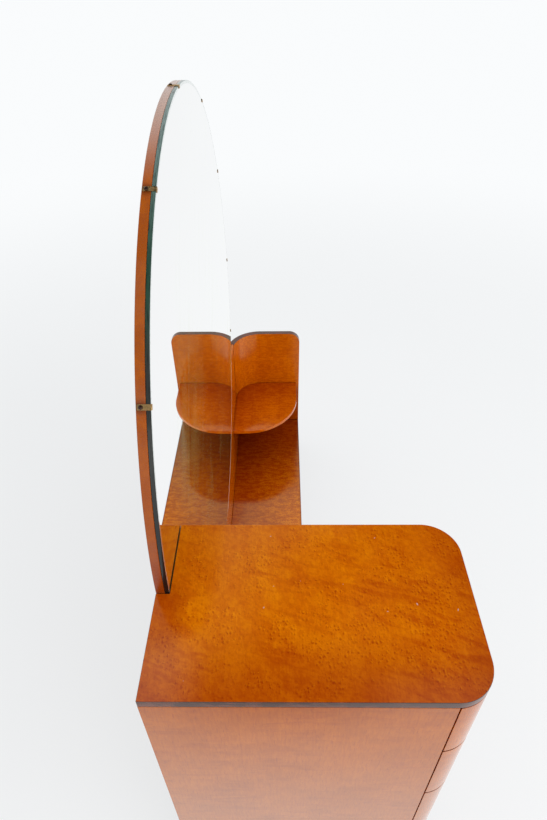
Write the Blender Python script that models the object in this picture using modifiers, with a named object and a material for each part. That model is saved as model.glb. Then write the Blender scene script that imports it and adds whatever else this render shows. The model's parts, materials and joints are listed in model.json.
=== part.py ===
"""Asymmetrical dressing table: a drawer cabinet, a low platform, a bent end with a shelf, and a round mirror.

X runs along the table with the drawers at the left, seen from the front. The front faces -Y and Z is up.
All sizes are in metres.
"""

import math

import bmesh
import bpy
from mathutils import Matrix, Vector

# Overall sizes
TABLE_LENGTH = 1.279
CABINET_WIDTH = 0.256
CABINET_DEPTH = 0.420
CORNER_RADIUS = 0.050
PLATFORM_DEPTH = 0.2225
PLATFORM_THICKNESS = 0.020
PLINTH_HEIGHT = 0.097
PLINTH_SETBACK = 0.014
PLINTH_BOARD = 0.018

# Fits between pieces
SEAT_GAP = 0.0003
DRAWER_GAP = 0.002
NOTCH_CLEARANCE = 0.0015

# Cabinet boards
TOP_THICKNESS = 0.0133
SIDE_THICKNESS = 0.018
CABINET_BACK_THICKNESS = 0.008
CABINET_BOTTOM_THICKNESS = 0.014
DUST_BOARD_THICKNESS = 0.010

# Drawers, which grow from the top one down
DRAWER_COUNT = 4
TOP_DRAWER_HEIGHT = 0.1268
DRAWER_HEIGHT_STEP = 0.0262
DRAWER_FRONT_THICKNESS = 0.020
DRAWER_WRAP_TRIM = 0.0045
DRAWER_SIDE_THICKNESS = 0.012
DRAWER_BACK_THICKNESS = 0.010
DRAWER_BACK_DROP = 0.006
DRAWER_BOTTOM_THICKNESS = 0.005
DRAWER_BOTTOM_LIFT = 0.008
DRAWER_GROOVE_DEPTH = 0.005
DRAWER_SIDE_CLEARANCE = 0.0008
DRAWER_HEADROOM = 0.004
DRAWER_REAR_CLEARANCE = 0.010

# Knobs
KNOB_RADIUS = 0.014
KNOB_PROJECTION = 0.022
KNOB_HEAD_LENGTH = 0.015
KNOB_FOOT_RADIUS = 0.009
KNOB_FOOT_HEIGHT = 0.0025
KNOB_NECK_RADIUS = 0.0065
KNOB_TENON_RADIUS = 0.005
KNOB_TENON_LENGTH = 0.012

# Mirror
MIRROR_RADIUS = 0.525
MIRROR_FROM_LEFT = 0.6654
MIRROR_DROP = 0.0243
BACK_BOARD_THICKNESS = 0.012
GLASS_THICKNESS = 0.006

# Clips on the mirror's rim, by angle from the right end of the table upwards
CLIP_ANGLES = (-22.0, 0.5, 30.0, 59.5, 89.5, 118.5, 148.0)
CLIP_WIDTH = 0.010
CLIP_THICKNESS = 0.0012
CLIP_LIP = 0.005
CLIP_BACK_MARGIN = 0.0015
SCREW_HEAD_RADIUS = 0.0028
SCREW_HEAD_HEIGHT = 0.0016
SCREW_SHANK_RADIUS = 0.0013
SCREW_LENGTH = 0.012
SCREW_POINT = 0.003

# Bent end and shelf
END_THICKNESS = 0.0165
END_HEIGHT = 0.353
END_CORNER_RADIUS = 0.033
COVE_RADIUS = 0.080
BEND_SWEEP = 74.0
SHELF_HEIGHT = 0.1625
SHELF_THICKNESS = 0.010
SHELF_LENGTH = 0.246
SHELF_RADIUS = 0.158
SHELF_INSET = 0.0095

# Smoothness of round shapes, and the room round cutters
CORNER_STEPS = 12
SHELF_STEPS = 24
MIRROR_SEGMENTS = 144
KNOB_STEPS = 24
KNOB_HEAD_STEPS = 10
SCREW_STEPS = 12
SCREW_DOME_STEPS = 4
SMOOTH_ANGLE = math.radians(30)
QUARTER_TURN = math.radians(90)
WELD_DISTANCE = 0.00001
CUTTER_MARGIN = 0.010

# Places that follow from the sizes above
LEFT = -TABLE_LENGTH / 2
RIGHT = TABLE_LENGTH / 2
BACK = (CABINET_DEPTH + KNOB_PROJECTION) / 2
FRONT = BACK - CABINET_DEPTH
CABINET_INNER = LEFT + CABINET_WIDTH
CABINET_CENTER = LEFT + CABINET_WIDTH / 2
DRAWER_HEIGHTS = [TOP_DRAWER_HEIGHT + i * DRAWER_HEIGHT_STEP for i in range(DRAWER_COUNT)]
UNDER_TOP = PLINTH_HEIGHT + sum(DRAWER_HEIGHTS)
CABINET_HEIGHT = UNDER_TOP + TOP_THICKNESS
DRAWER_WRAP = CORNER_RADIUS - DRAWER_WRAP_TRIM
CARCASS_FRONT = FRONT + DRAWER_WRAP + DRAWER_GAP
MIRROR_X = LEFT + MIRROR_FROM_LEFT
MIRROR_Z = CABINET_HEIGHT - MIRROR_DROP
MIRROR_DEPTH = BACK_BOARD_THICKNESS + GLASS_THICKNESS
MIRROR_FACE = BACK - MIRROR_DEPTH
CARCASS_BACK = MIRROR_FACE - NOTCH_CLEARANCE
CABINET_BACK_FACE = CARCASS_BACK - CABINET_BACK_THICKNESS
PLATFORM_TOP = PLINTH_HEIGHT + PLATFORM_THICKNESS
PLATFORM_FRONT = BACK - PLATFORM_DEPTH
PLATFORM_BACK = MIRROR_FACE - SEAT_GAP
END_FACE = RIGHT - END_THICKNESS
END_TOP = PLATFORM_TOP + END_HEIGHT
COVE_X = END_FACE - COVE_RADIUS
COVE_Y = MIRROR_FACE - COVE_RADIUS
BEND_END = COVE_X + COVE_RADIUS * math.cos(math.radians(BEND_SWEEP))
SHELF_TOP = PLATFORM_TOP + SHELF_HEIGHT

# Colour, roughness and metallic value of each finish
FINISHES = {
    "burr_veneer": ((0.56, 0.20, 0.03), 0.22, 0.0),
    "straight_veneer": ((0.42, 0.14, 0.04), 0.25, 0.0),
    "ebonised_wood": ((0.03, 0.02, 0.018), 0.35, 0.0),
    "drawer_timber": ((0.50, 0.33, 0.17), 0.55, 0.0),
    "mirror_board": ((0.30, 0.10, 0.04), 0.40, 0.0),
    "silvered_glass": ((0.85, 0.88, 0.87), 0.02, 1.0),
    "aged_brass": ((0.45, 0.30, 0.12), 0.35, 1.0),
}


def clear_scene():
    """Start from an empty scene and make the two collections."""
    for old in list(bpy.data.objects):
        bpy.data.objects.remove(old)
    for name in ("dressing_table", "cutters"):
        collection = bpy.data.collections.new(name)
        bpy.context.scene.collection.children.link(collection)


def finish_material(part_name, finish):
    """A material of the part's own, in one of the table's finishes."""
    colour, roughness, metallic = FINISHES[finish]
    material = bpy.data.materials.new(part_name + "_" + finish)
    material.use_nodes = True
    shader = material.node_tree.nodes["Principled BSDF"]
    shader.inputs["Base Color"].default_value = (*colour, 1.0)
    shader.inputs["Roughness"].default_value = roughness
    shader.inputs["Metallic"].default_value = metallic
    return material


def add_object(name, mesh, collection, place=(0, 0, 0), turn=(0, 0, 0), parent=None):
    """Put a mesh into a collection at a place and turn, which are the parent's own if there is one."""
    obj = bpy.data.objects.new(name, mesh)
    bpy.data.collections[collection].objects.link(obj)
    obj.parent = parent
    obj.location = place
    obj.rotation_euler = turn
    return obj


def add_part(name, mesh, finish, **where):
    """One sub-part of the table, with its own material."""
    mesh.materials.append(finish_material(name, finish))
    return add_object(name, mesh, "dressing_table", **where)


def add_cutter(name, mesh, **where):
    """A shape that is only cut out of others."""
    obj = add_object(name, mesh, "cutters", **where)
    obj.hide_render = True
    obj.display_type = "WIRE"
    return obj


def combine(target, tool, operation="DIFFERENCE"):
    """Cut the tool out of the target, or join it on."""
    modifier = target.modifiers.new(operation.lower() + "_" + tool.name, "BOOLEAN")
    modifier.operation = operation
    modifier.solver = "EXACT"
    modifier.object = tool


def box_mesh(name, size):
    """A box of that size, centred on its origin."""
    mesh = bpy.data.meshes.new(name)
    shape = bmesh.new()
    bmesh.ops.create_cube(shape, size=1.0, matrix=Matrix.Diagonal((*size, 1.0)))
    shape.to_mesh(mesh)
    shape.free()
    return mesh


def disc_mesh(name, radius, thickness, segments):
    """A round plate with its axis along Z, centred on its origin."""
    mesh = bpy.data.meshes.new(name)
    shape = bmesh.new()
    bmesh.ops.create_cone(
        shape, cap_ends=True, segments=segments, radius1=radius, radius2=radius, depth=thickness
    )
    shape.to_mesh(mesh)
    shape.free()
    mesh.shade_smooth()
    mesh.set_sharp_from_angle(angle=SMOOTH_ANGLE)
    return mesh


def plate_mesh(name, outline, thickness):
    """A flat outline in XY as a plate, with half its thickness on each side of Z = 0."""
    curve = bpy.data.curves.new(name, "CURVE")
    curve.dimensions = "2D"
    curve.fill_mode = "BOTH"
    curve.extrude = thickness / 2
    spline = curve.splines.new("POLY")
    spline.points.add(len(outline) - 1)
    for point, (x, y) in zip(spline.points, outline):
        point.co = (x, y, 0.0, 1.0)
    spline.use_cyclic_u = True
    holder = bpy.data.objects.new(name, curve)
    bpy.context.scene.collection.objects.link(holder)
    graph = bpy.context.evaluated_depsgraph_get()
    mesh = bpy.data.meshes.new_from_object(holder.evaluated_get(graph))
    bpy.data.objects.remove(holder)
    shape = bmesh.new()
    shape.from_mesh(mesh)
    bmesh.ops.remove_doubles(shape, verts=shape.verts, dist=WELD_DISTANCE)
    bmesh.ops.recalc_face_normals(shape, faces=shape.faces)
    shape.to_mesh(mesh)
    shape.free()
    mesh.shade_smooth()
    mesh.set_sharp_from_angle(angle=SMOOTH_ANGLE)
    return mesh


def turned_mesh(name, profile):
    """The half outline of a turned piece, from its top down the outer side, for a Screw modifier."""
    mesh = bpy.data.meshes.new(name)
    points = [(radius, 0.0, height) for radius, height in profile]
    edges = [(i, i + 1) for i in range(len(points) - 1)]
    mesh.from_pydata(points, edges, [])
    return mesh


def spin(obj, steps):
    """Turn a half outline once round its own Z axis."""
    screw = obj.modifiers.new("turning", "SCREW")
    screw.steps = steps
    screw.render_steps = steps
    screw.use_merge_vertices = True
    screw.merge_threshold = WELD_DISTANCE
    screw.use_smooth_shade = True


def arc(center, radius, start, end, steps):
    """Points on a circle between two angles in degrees, both ends included."""
    points = []
    for i in range(steps + 1):
        angle = math.radians(start + (end - start) * i / steps)
        points.append((center[0] + radius * math.cos(angle), center[1] + radius * math.sin(angle)))
    return points


def add_box(name, low, high, finish, parent=None):
    """A board given by its lowest and highest corners."""
    low, high = Vector(low), Vector(high)
    mesh = box_mesh(name, high - low)
    return add_part(name, mesh, finish, place=(low + high) / 2, parent=parent)


def add_plate(name, outline, low, high, finish, parent=None):
    """A plate with its outline in plan, between two heights."""
    mesh = plate_mesh(name, outline, high - low)
    return add_part(name, mesh, finish, place=(0, 0, (low + high) / 2), parent=parent)


def mirror_cutter():
    """The space that the mirror needs in the pieces round it."""
    depth = BACK + CUTTER_MARGIN - CARCASS_BACK
    mesh = disc_mesh("mirror_space", MIRROR_RADIUS + SEAT_GAP, depth, MIRROR_SEGMENTS)
    place = (MIRROR_X, CARCASS_BACK + depth / 2, MIRROR_Z)
    return add_cutter("mirror_space", mesh, place=place, turn=(QUARTER_TURN, 0, 0))


def build_cabinet_top(mirror_space):
    """Top board with two rounded front corners, notched at the back for the mirror."""
    left_corner = (LEFT + CORNER_RADIUS, FRONT + CORNER_RADIUS)
    right_corner = (CABINET_INNER - CORNER_RADIUS, FRONT + CORNER_RADIUS)
    outline = [(CABINET_INNER, BACK), (LEFT, BACK)]
    outline += arc(left_corner, CORNER_RADIUS, 180, 270, CORNER_STEPS)
    outline += arc(right_corner, CORNER_RADIUS, 270, 360, CORNER_STEPS)
    top = add_plate("cabinet_top", outline, UNDER_TOP, CABINET_HEIGHT, "burr_veneer")
    combine(top, mirror_space)


def build_carcass():
    """Sides, back and bottom of the cabinet, and the boards between the drawers."""
    low, high = PLINTH_HEIGHT, UNDER_TOP - SEAT_GAP
    outer = LEFT + SIDE_THICKNESS
    inner = CABINET_INNER - SIDE_THICKNESS
    add_box("cabinet_outer_side", (LEFT, CARCASS_FRONT, low), (outer, BACK, high), "straight_veneer")
    add_box(
        "cabinet_inner_side",
        (inner, CARCASS_FRONT, low),
        (CABINET_INNER, CARCASS_BACK, high),
        "straight_veneer",
    )
    left, right = outer + SEAT_GAP, inner - SEAT_GAP
    add_box("cabinet_back", (left, CABINET_BACK_FACE, low), (right, CARCASS_BACK, high), "drawer_timber")
    rear = CABINET_BACK_FACE - SEAT_GAP
    bottom_top = low + CABINET_BOTTOM_THICKNESS
    add_box("cabinet_bottom", (left, CARCASS_FRONT, low), (right, rear, bottom_top), "drawer_timber")
    level = UNDER_TOP
    for i in range(DRAWER_COUNT - 1):
        level -= DRAWER_HEIGHTS[i]
        add_box(
            f"dust_board_{i + 1}",
            (left, CARCASS_FRONT, level - DUST_BOARD_THICKNESS / 2),
            (right, rear, level + DUST_BOARD_THICKNESS / 2),
            "drawer_timber",
        )


def build_plinth():
    """Recessed boards that carry the cabinet and the platform."""
    high = PLINTH_HEIGHT - SEAT_GAP
    left = LEFT + PLINTH_SETBACK
    inner = CABINET_INNER - PLINTH_SETBACK
    right = RIGHT - PLINTH_SETBACK
    cabinet_front = CARCASS_FRONT + PLINTH_SETBACK
    platform_front = PLATFORM_FRONT + PLINTH_SETBACK
    rear = BACK - PLINTH_BOARD - SEAT_GAP
    behind_front = cabinet_front + PLINTH_BOARD + SEAT_GAP
    behind_platform = platform_front + PLINTH_BOARD
    boards = {
        "plinth_back": ((left, BACK - PLINTH_BOARD), (right, BACK)),
        "plinth_cabinet_front": ((left, cabinet_front), (inner, cabinet_front + PLINTH_BOARD)),
        "plinth_cabinet_side": ((left, behind_front), (left + PLINTH_BOARD, rear)),
        "plinth_cabinet_inner": ((inner - PLINTH_BOARD, behind_front), (inner, rear)),
        "plinth_platform_front": ((inner + SEAT_GAP, platform_front), (right, behind_platform)),
        "plinth_end": ((right - PLINTH_BOARD, behind_platform + SEAT_GAP), (right, rear)),
    }
    for name, (low_xy, high_xy) in boards.items():
        add_box(name, (*low_xy, 0.0), (*high_xy, high), "ebonised_wood")


def nook_outline(free_end, front, free_radius):
    """Plan of a board that fits into the bent end's rounded corner, with its free front corner rounded."""
    cove = arc((COVE_X, COVE_Y), COVE_RADIUS - SEAT_GAP, 0, 90, CORNER_STEPS)
    outline = cove + [(free_end, PLATFORM_BACK)]
    if free_radius > 0:
        center = (free_end + free_radius, front + free_radius)
        outline += arc(center, free_radius, 180, 270, SHELF_STEPS)
    else:
        outline.append((free_end, front))
    outline.append((END_FACE - SEAT_GAP, front))
    return outline


def build_platform_and_shelf():
    """The low board along the knee space, and the shelf above it in the far corner."""
    platform = nook_outline(CABINET_INNER + SEAT_GAP, PLATFORM_FRONT, 0.0)
    add_plate("platform", platform, PLINTH_HEIGHT, PLATFORM_TOP, "straight_veneer")
    shelf_front = PLATFORM_FRONT + SHELF_INSET
    radius = min(SHELF_RADIUS, PLATFORM_BACK - shelf_front - SEAT_GAP)
    shelf = nook_outline(END_FACE - SHELF_LENGTH, shelf_front, radius)
    add_plate("shelf", shelf, SHELF_TOP - SHELF_THICKNESS, SHELF_TOP, "straight_veneer")


def build_end_panel(mirror_space):
    """One bent sheet: the end wall and its rounded inside corner, with the front top corner rounded off."""
    cove = (COVE_X, COVE_Y)
    outline = [(END_FACE, PLATFORM_FRONT)]
    outline += arc(cove, COVE_RADIUS, 0, BEND_SWEEP, CORNER_STEPS)
    outline += arc(cove, COVE_RADIUS + END_THICKNESS, BEND_SWEEP, 0, CORNER_STEPS)
    outline += [(RIGHT, PLATFORM_FRONT)]
    panel = add_plate("end_panel", outline, PLINTH_HEIGHT, END_TOP, "straight_veneer")
    edge_y, edge_z = PLATFORM_FRONT - CUTTER_MARGIN, END_TOP + CUTTER_MARGIN
    center = (PLATFORM_FRONT + END_CORNER_RADIUS, END_TOP - END_CORNER_RADIUS)
    waste = [(edge_y, edge_z), (edge_y, center[1])]
    waste += arc(center, END_CORNER_RADIUS, 180, 90, CORNER_STEPS)
    waste += [(center[0], edge_z)]
    mesh = plate_mesh("end_corner_waste", waste, END_THICKNESS + 2 * CUTTER_MARGIN)
    place = (RIGHT - END_THICKNESS / 2, 0, 0)
    corner = add_cutter("end_corner_waste", mesh, place=place, turn=(QUARTER_TURN, 0, QUARTER_TURN))
    combine(panel, corner)
    combine(panel, mirror_space)


def build_back(mirror_space):
    """Back board, round above and square below, and the facing that carries on the glass's front face."""
    low_x, high_x = CABINET_INNER - SIDE_THICKNESS, BEND_END - SEAT_GAP
    board = add_box(
        "back_board",
        (low_x, BACK - BACK_BOARD_THICKNESS, PLINTH_HEIGHT),
        (high_x, BACK, END_TOP),
        "mirror_board",
    )
    disc = disc_mesh("mirror_board_disc", MIRROR_RADIUS, BACK_BOARD_THICKNESS, MIRROR_SEGMENTS)
    place = (MIRROR_X, BACK - BACK_BOARD_THICKNESS / 2, MIRROR_Z)
    combine(board, add_cutter("mirror_board_disc", disc, place=place, turn=(QUARTER_TURN, 0, 0)), "UNION")
    glass_back = BACK - BACK_BOARD_THICKNESS - SEAT_GAP
    facing = add_box(
        "back_facing",
        (CABINET_INNER + SEAT_GAP, MIRROR_FACE, PLINTH_HEIGHT),
        (high_x, glass_back, END_TOP),
        "straight_veneer",
    )
    combine(facing, mirror_space)
    glass = disc_mesh("mirror_glass", MIRROR_RADIUS, glass_back - MIRROR_FACE, MIRROR_SEGMENTS)
    place = (MIRROR_X, (glass_back + MIRROR_FACE) / 2, MIRROR_Z)
    add_part("mirror_glass", glass, "silvered_glass", place=place, turn=(QUARTER_TURN, 0, 0))
    return board


def screw_profile():
    """A round-headed wood screw, with height 0 at the rim of the board that it goes into."""
    seat = CLIP_THICKNESS + 2 * SEAT_GAP
    quarter = arc((0, 0), 1, 90, 0, SCREW_DOME_STEPS)
    dome = [(SCREW_HEAD_RADIUS * x, seat + SCREW_HEAD_HEIGHT * z) for x, z in quarter]
    shank = [(SCREW_SHANK_RADIUS, seat), (SCREW_SHANK_RADIUS, SCREW_POINT - SCREW_LENGTH)]
    return dome + shank + [(0.0, -SCREW_LENGTH)]


def build_clips(board):
    """Brass clips round the free part of the rim, each held by a screw into the back board's edge."""
    foot_low = MIRROR_RADIUS + SEAT_GAP
    foot_high = foot_low + CLIP_THICKNESS
    lip_back = MIRROR_FACE - SEAT_GAP
    lip_front = lip_back - CLIP_THICKNESS
    foot_back = BACK - CLIP_BACK_MARGIN
    profile = [(foot_high, foot_back), (foot_low, foot_back), (foot_low, lip_back)]
    profile += [(MIRROR_RADIUS - CLIP_LIP, lip_back), (MIRROR_RADIUS - CLIP_LIP, lip_front)]
    profile += [(foot_high, lip_front)]
    screw_y = BACK - BACK_BOARD_THICKNESS / 2
    hole_length = SCREW_LENGTH + SEAT_GAP + CUTTER_MARGIN
    for number, degrees in enumerate(CLIP_ANGLES, start=1):
        angle = math.radians(degrees)
        outward = Vector((math.cos(angle), 0.0, math.sin(angle)))
        clip_mesh = plate_mesh(f"clip_{number}", profile, CLIP_WIDTH)
        place = (MIRROR_X, 0.0, MIRROR_Z)
        clip = add_part(f"clip_{number}", clip_mesh, "aged_brass", place=place, turn=(0, -angle, 0))
        rim = Vector((MIRROR_X, screw_y, MIRROR_Z)) + outward * MIRROR_RADIUS
        turn = (0, QUARTER_TURN - angle, 0)
        screw_mesh = turned_mesh(f"clip_screw_{number}", screw_profile())
        screw = add_part(f"clip_screw_{number}", screw_mesh, "aged_brass", place=rim, turn=turn)
        spin(screw, SCREW_STEPS)
        hole_mesh = disc_mesh(
            f"screw_hole_{number}", SCREW_SHANK_RADIUS + SEAT_GAP, hole_length, SCREW_STEPS
        )
        middle = rim + outward * (CUTTER_MARGIN - hole_length / 2)
        hole = add_cutter(f"screw_hole_{number}", hole_mesh, place=middle, turn=turn)
        combine(clip, hole)
        combine(board, hole)


def knob_profile():
    """A turned knob with a tenon, with height 0 at the face of the drawer front."""
    half = KNOB_HEAD_LENGTH / 2
    middle = KNOB_PROJECTION - half
    head = [(KNOB_RADIUS * x, middle + half * z) for x, z in arc((0, 0), 1, 90, -60, KNOB_HEAD_STEPS)]
    foot = [(KNOB_NECK_RADIUS, middle - half), (KNOB_FOOT_RADIUS, KNOB_FOOT_HEIGHT)]
    foot += [(KNOB_FOOT_RADIUS, SEAT_GAP), (KNOB_TENON_RADIUS, SEAT_GAP)]
    return head + foot + [(KNOB_TENON_RADIUS, -KNOB_TENON_LENGTH), (0.0, -KNOB_TENON_LENGTH)]


def drawer_front_outline():
    """Plan of a drawer front: rounded outer corners, and a pocket behind between two solid ends.

    X is measured from the middle of the drawer and Y from its front face.
    """
    half = CABINET_WIDTH / 2
    corner = half - CORNER_RADIUS
    start = math.degrees(math.asin(DRAWER_WRAP_TRIM / CORNER_RADIUS))
    pocket = half - SIDE_THICKNESS - DRAWER_SIDE_CLEARANCE - DRAWER_SIDE_THICKNESS
    outline = arc((-corner, CORNER_RADIUS), CORNER_RADIUS, 180 + start, 270, CORNER_STEPS)
    outline += arc((corner, CORNER_RADIUS), CORNER_RADIUS, 270, 360 - start, CORNER_STEPS)
    outline += [(pocket, DRAWER_WRAP), (pocket, DRAWER_FRONT_THICKNESS)]
    outline += [(-pocket, DRAWER_FRONT_THICKNESS), (-pocket, DRAWER_WRAP)]
    return outline


def build_drawer_front(name, bottom, top, slide):
    """The shaped front and its knob, whose tenon goes into a blind hole in the front."""
    front = add_plate(f"{name}_front", drawer_front_outline(), bottom, top, "straight_veneer", slide)
    middle = (bottom + top) / 2
    turn = (QUARTER_TURN, 0, 0)
    knob_mesh = turned_mesh(f"{name}_knob", knob_profile())
    knob = add_part(
        f"{name}_knob", knob_mesh, "ebonised_wood", place=(0, 0, middle), turn=turn, parent=slide
    )
    spin(knob, KNOB_STEPS)
    length = KNOB_TENON_LENGTH + SEAT_GAP + CUTTER_MARGIN
    hole_mesh = disc_mesh(f"{name}_knob_hole", KNOB_TENON_RADIUS + SEAT_GAP, length, KNOB_STEPS)
    place = (0, length / 2 - CUTTER_MARGIN, middle)
    combine(front, add_cutter(f"{name}_knob_hole", hole_mesh, place=place, turn=turn, parent=slide))


def drawer_side_outline(inward, bottom, top):
    """Section of a drawer side in XZ, from its outer face inwards, with the groove for the bottom."""
    face = CABINET_WIDTH / 2 - SIDE_THICKNESS - DRAWER_SIDE_CLEARANCE
    inner = face - DRAWER_SIDE_THICKNESS
    groove = inner + DRAWER_GROOVE_DEPTH + SEAT_GAP
    groove_low = bottom + DRAWER_BOTTOM_LIFT - SEAT_GAP
    groove_high = bottom + DRAWER_BOTTOM_LIFT + DRAWER_BOTTOM_THICKNESS + SEAT_GAP
    section = [(face, bottom), (face, top), (inner, top), (inner, groove_high), (groove, groove_high)]
    section += [(groove, groove_low), (inner, groove_low), (inner, bottom)]
    return [(-inward * x, z) for x, z in section]


def build_drawer_box(name, bottom, top, slide):
    """Two sides, a back and a bottom let into grooves."""
    near = DRAWER_WRAP + SEAT_GAP
    far = CABINET_BACK_FACE - FRONT - DRAWER_REAR_CLEARANCE
    inner = CABINET_WIDTH / 2 - SIDE_THICKNESS - DRAWER_SIDE_CLEARANCE - DRAWER_SIDE_THICKNESS
    for side, inward in (("left", 1), ("right", -1)):
        mesh = plate_mesh(f"{name}_{side}_side", drawer_side_outline(inward, bottom, top), far - near)
        place = (0, (near + far) / 2, 0)
        turn = (QUARTER_TURN, 0, 0)
        add_part(f"{name}_{side}_side", mesh, "drawer_timber", place=place, turn=turn, parent=slide)
    panel_low = bottom + DRAWER_BOTTOM_LIFT
    panel_high = panel_low + DRAWER_BOTTOM_THICKNESS
    wide, narrow = inner + DRAWER_GROOVE_DEPTH, inner - SEAT_GAP
    tongue = DRAWER_FRONT_THICKNESS + SEAT_GAP
    outline = [(narrow, tongue), (narrow, near), (wide, near), (wide, far)]
    outline += [(-x, y) for x, y in reversed(outline)]
    add_plate(f"{name}_bottom", outline, panel_low, panel_high, "drawer_timber", slide)
    add_box(
        f"{name}_back",
        (-narrow, far - DRAWER_BACK_THICKNESS, panel_high + SEAT_GAP),
        (narrow, far, top - DRAWER_BACK_DROP),
        "drawer_timber",
        slide,
    )


def build_drawers():
    """The drawers from the top one down, each on an empty that stands for its slide."""
    level = UNDER_TOP
    for i, height in enumerate(DRAWER_HEIGHTS):
        level -= height
        name = f"drawer_{i + 1}"
        slide = bpy.data.objects.new(f"{name}_slide", None)
        bpy.data.collections["dressing_table"].objects.link(slide)
        slide.location = (CABINET_CENTER, FRONT, level)
        lowest = i == DRAWER_COUNT - 1
        floor = CABINET_BOTTOM_THICKNESS if lowest else DUST_BOARD_THICKNESS / 2
        ceiling = height if i == 0 else height - DUST_BOARD_THICKNESS / 2
        build_drawer_front(name, DRAWER_GAP / 2, height - DRAWER_GAP / 2, slide)
        build_drawer_box(name, floor + SEAT_GAP, ceiling - DRAWER_HEADROOM, slide)


def build_table():
    """All the pieces of the dressing table."""
    clear_scene()
    mirror_space = mirror_cutter()
    build_cabinet_top(mirror_space)
    build_carcass()
    build_plinth()
    build_platform_and_shelf()
    build_end_panel(mirror_space)
    board = build_back(mirror_space)
    build_clips(board)
    build_drawers()


build_table()
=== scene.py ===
# %% [markdown]
# # A dressing table with a round mirror
#
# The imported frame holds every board, drawer, clip and screw of the table at its real size. This lesson gives
# them their looks. Each piece is made again in the same place as a finer mesh with eased edges, gets a finish
# made of nodes, and then rides on the body that carries it, so that the drawers still slide.

# %% The frame
import json
import math

import bmesh
import bpy
from mathutils import Matrix, Vector

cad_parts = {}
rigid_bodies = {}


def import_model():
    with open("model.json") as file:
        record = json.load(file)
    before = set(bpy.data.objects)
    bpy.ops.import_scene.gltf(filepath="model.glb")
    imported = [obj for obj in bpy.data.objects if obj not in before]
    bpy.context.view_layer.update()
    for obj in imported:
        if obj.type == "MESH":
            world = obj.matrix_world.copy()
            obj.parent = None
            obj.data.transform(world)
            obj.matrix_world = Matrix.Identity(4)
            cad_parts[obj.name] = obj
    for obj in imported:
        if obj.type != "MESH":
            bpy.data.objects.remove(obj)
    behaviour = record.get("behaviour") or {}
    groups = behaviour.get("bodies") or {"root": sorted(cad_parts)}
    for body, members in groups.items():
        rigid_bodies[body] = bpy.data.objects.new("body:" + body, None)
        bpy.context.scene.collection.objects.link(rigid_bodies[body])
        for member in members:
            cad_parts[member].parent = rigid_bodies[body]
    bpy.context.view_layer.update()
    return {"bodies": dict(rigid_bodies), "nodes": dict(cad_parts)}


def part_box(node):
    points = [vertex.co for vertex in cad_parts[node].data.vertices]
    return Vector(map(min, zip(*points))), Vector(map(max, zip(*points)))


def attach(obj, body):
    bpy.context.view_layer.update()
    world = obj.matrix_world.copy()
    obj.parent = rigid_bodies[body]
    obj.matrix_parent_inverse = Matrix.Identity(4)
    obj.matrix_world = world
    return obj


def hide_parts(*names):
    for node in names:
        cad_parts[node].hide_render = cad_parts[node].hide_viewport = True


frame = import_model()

scene = bpy.context.scene

# %% [markdown]
# ## The camera
#
# The table is seen from one end and from above, with a wide lens, so that the near cabinet looks large and
# the far end small. The place and the turn were worked out from the table's own straight edges: lines that
# are parallel on the table meet at one point in the picture. No shift is needed.

# %% Camera
CAMERA_PLACE = (-0.9340, 0.0502, 1.4519)
CAMERA_TURN = (50.287, 0.819, -89.410)
CAMERA_LENS = 25.44
FILM_LONG_SIDE = 36.0


def add_object(name, data):
    """A new object in the scene."""
    made = bpy.data.objects.new(name, data)
    scene.collection.objects.link(made)
    return made


camera = add_object("table_view", bpy.data.cameras.new("table_view"))
camera.data.lens = CAMERA_LENS
camera.data.sensor_width = FILM_LONG_SIDE
camera.location = CAMERA_PLACE
camera.rotation_euler = [math.radians(angle) for angle in CAMERA_TURN]
scene.camera = camera
scene.view_settings.view_transform = "Standard"
print("camera:", CAMERA_LENS, "mm lens at", CAMERA_PLACE)

# %% [markdown]
# ## Nodes by name
#
# Every finish below is a chain of nodes. Linking them one by one is long to read, so a small class stands for
# a node's output, and each sum or blend with it adds the next node. A recipe then reads like a formula, and
# gives the shader's inputs by name. A pattern's size is given in metres along X, Y and Z, so that a grain
# line or a speck has its real size on the table. A Mapping node of the Texture type does that: it turns first
# and then divides by the size.

# %% Node helpers
ZERO = (0.0, 0.0, 0.0)
SHADE = (0.80, 0.58, 0.5)


def fill(node, inputs):
    """Fill a node's sockets. A socket takes a plain value or another node's output."""
    for key, value in inputs.items():
        if isinstance(value, Output):
            node.id_data.links.new(value.socket, node.inputs[key])
        else:
            node.inputs[key].default_value = value


def add_node(tree, kind, inputs, output=0, **settings):
    """One node, with its settings and sockets filled."""
    made = tree.nodes.new(kind)
    for key, value in settings.items():
        setattr(made, key, value)
    fill(made, inputs)
    return Output(made, output)


def opaque(colour):
    """A colour of three numbers with full alpha; a node's output stays as it is."""
    return colour if isinstance(colour, Output) else (*colour, 1.0)


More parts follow.
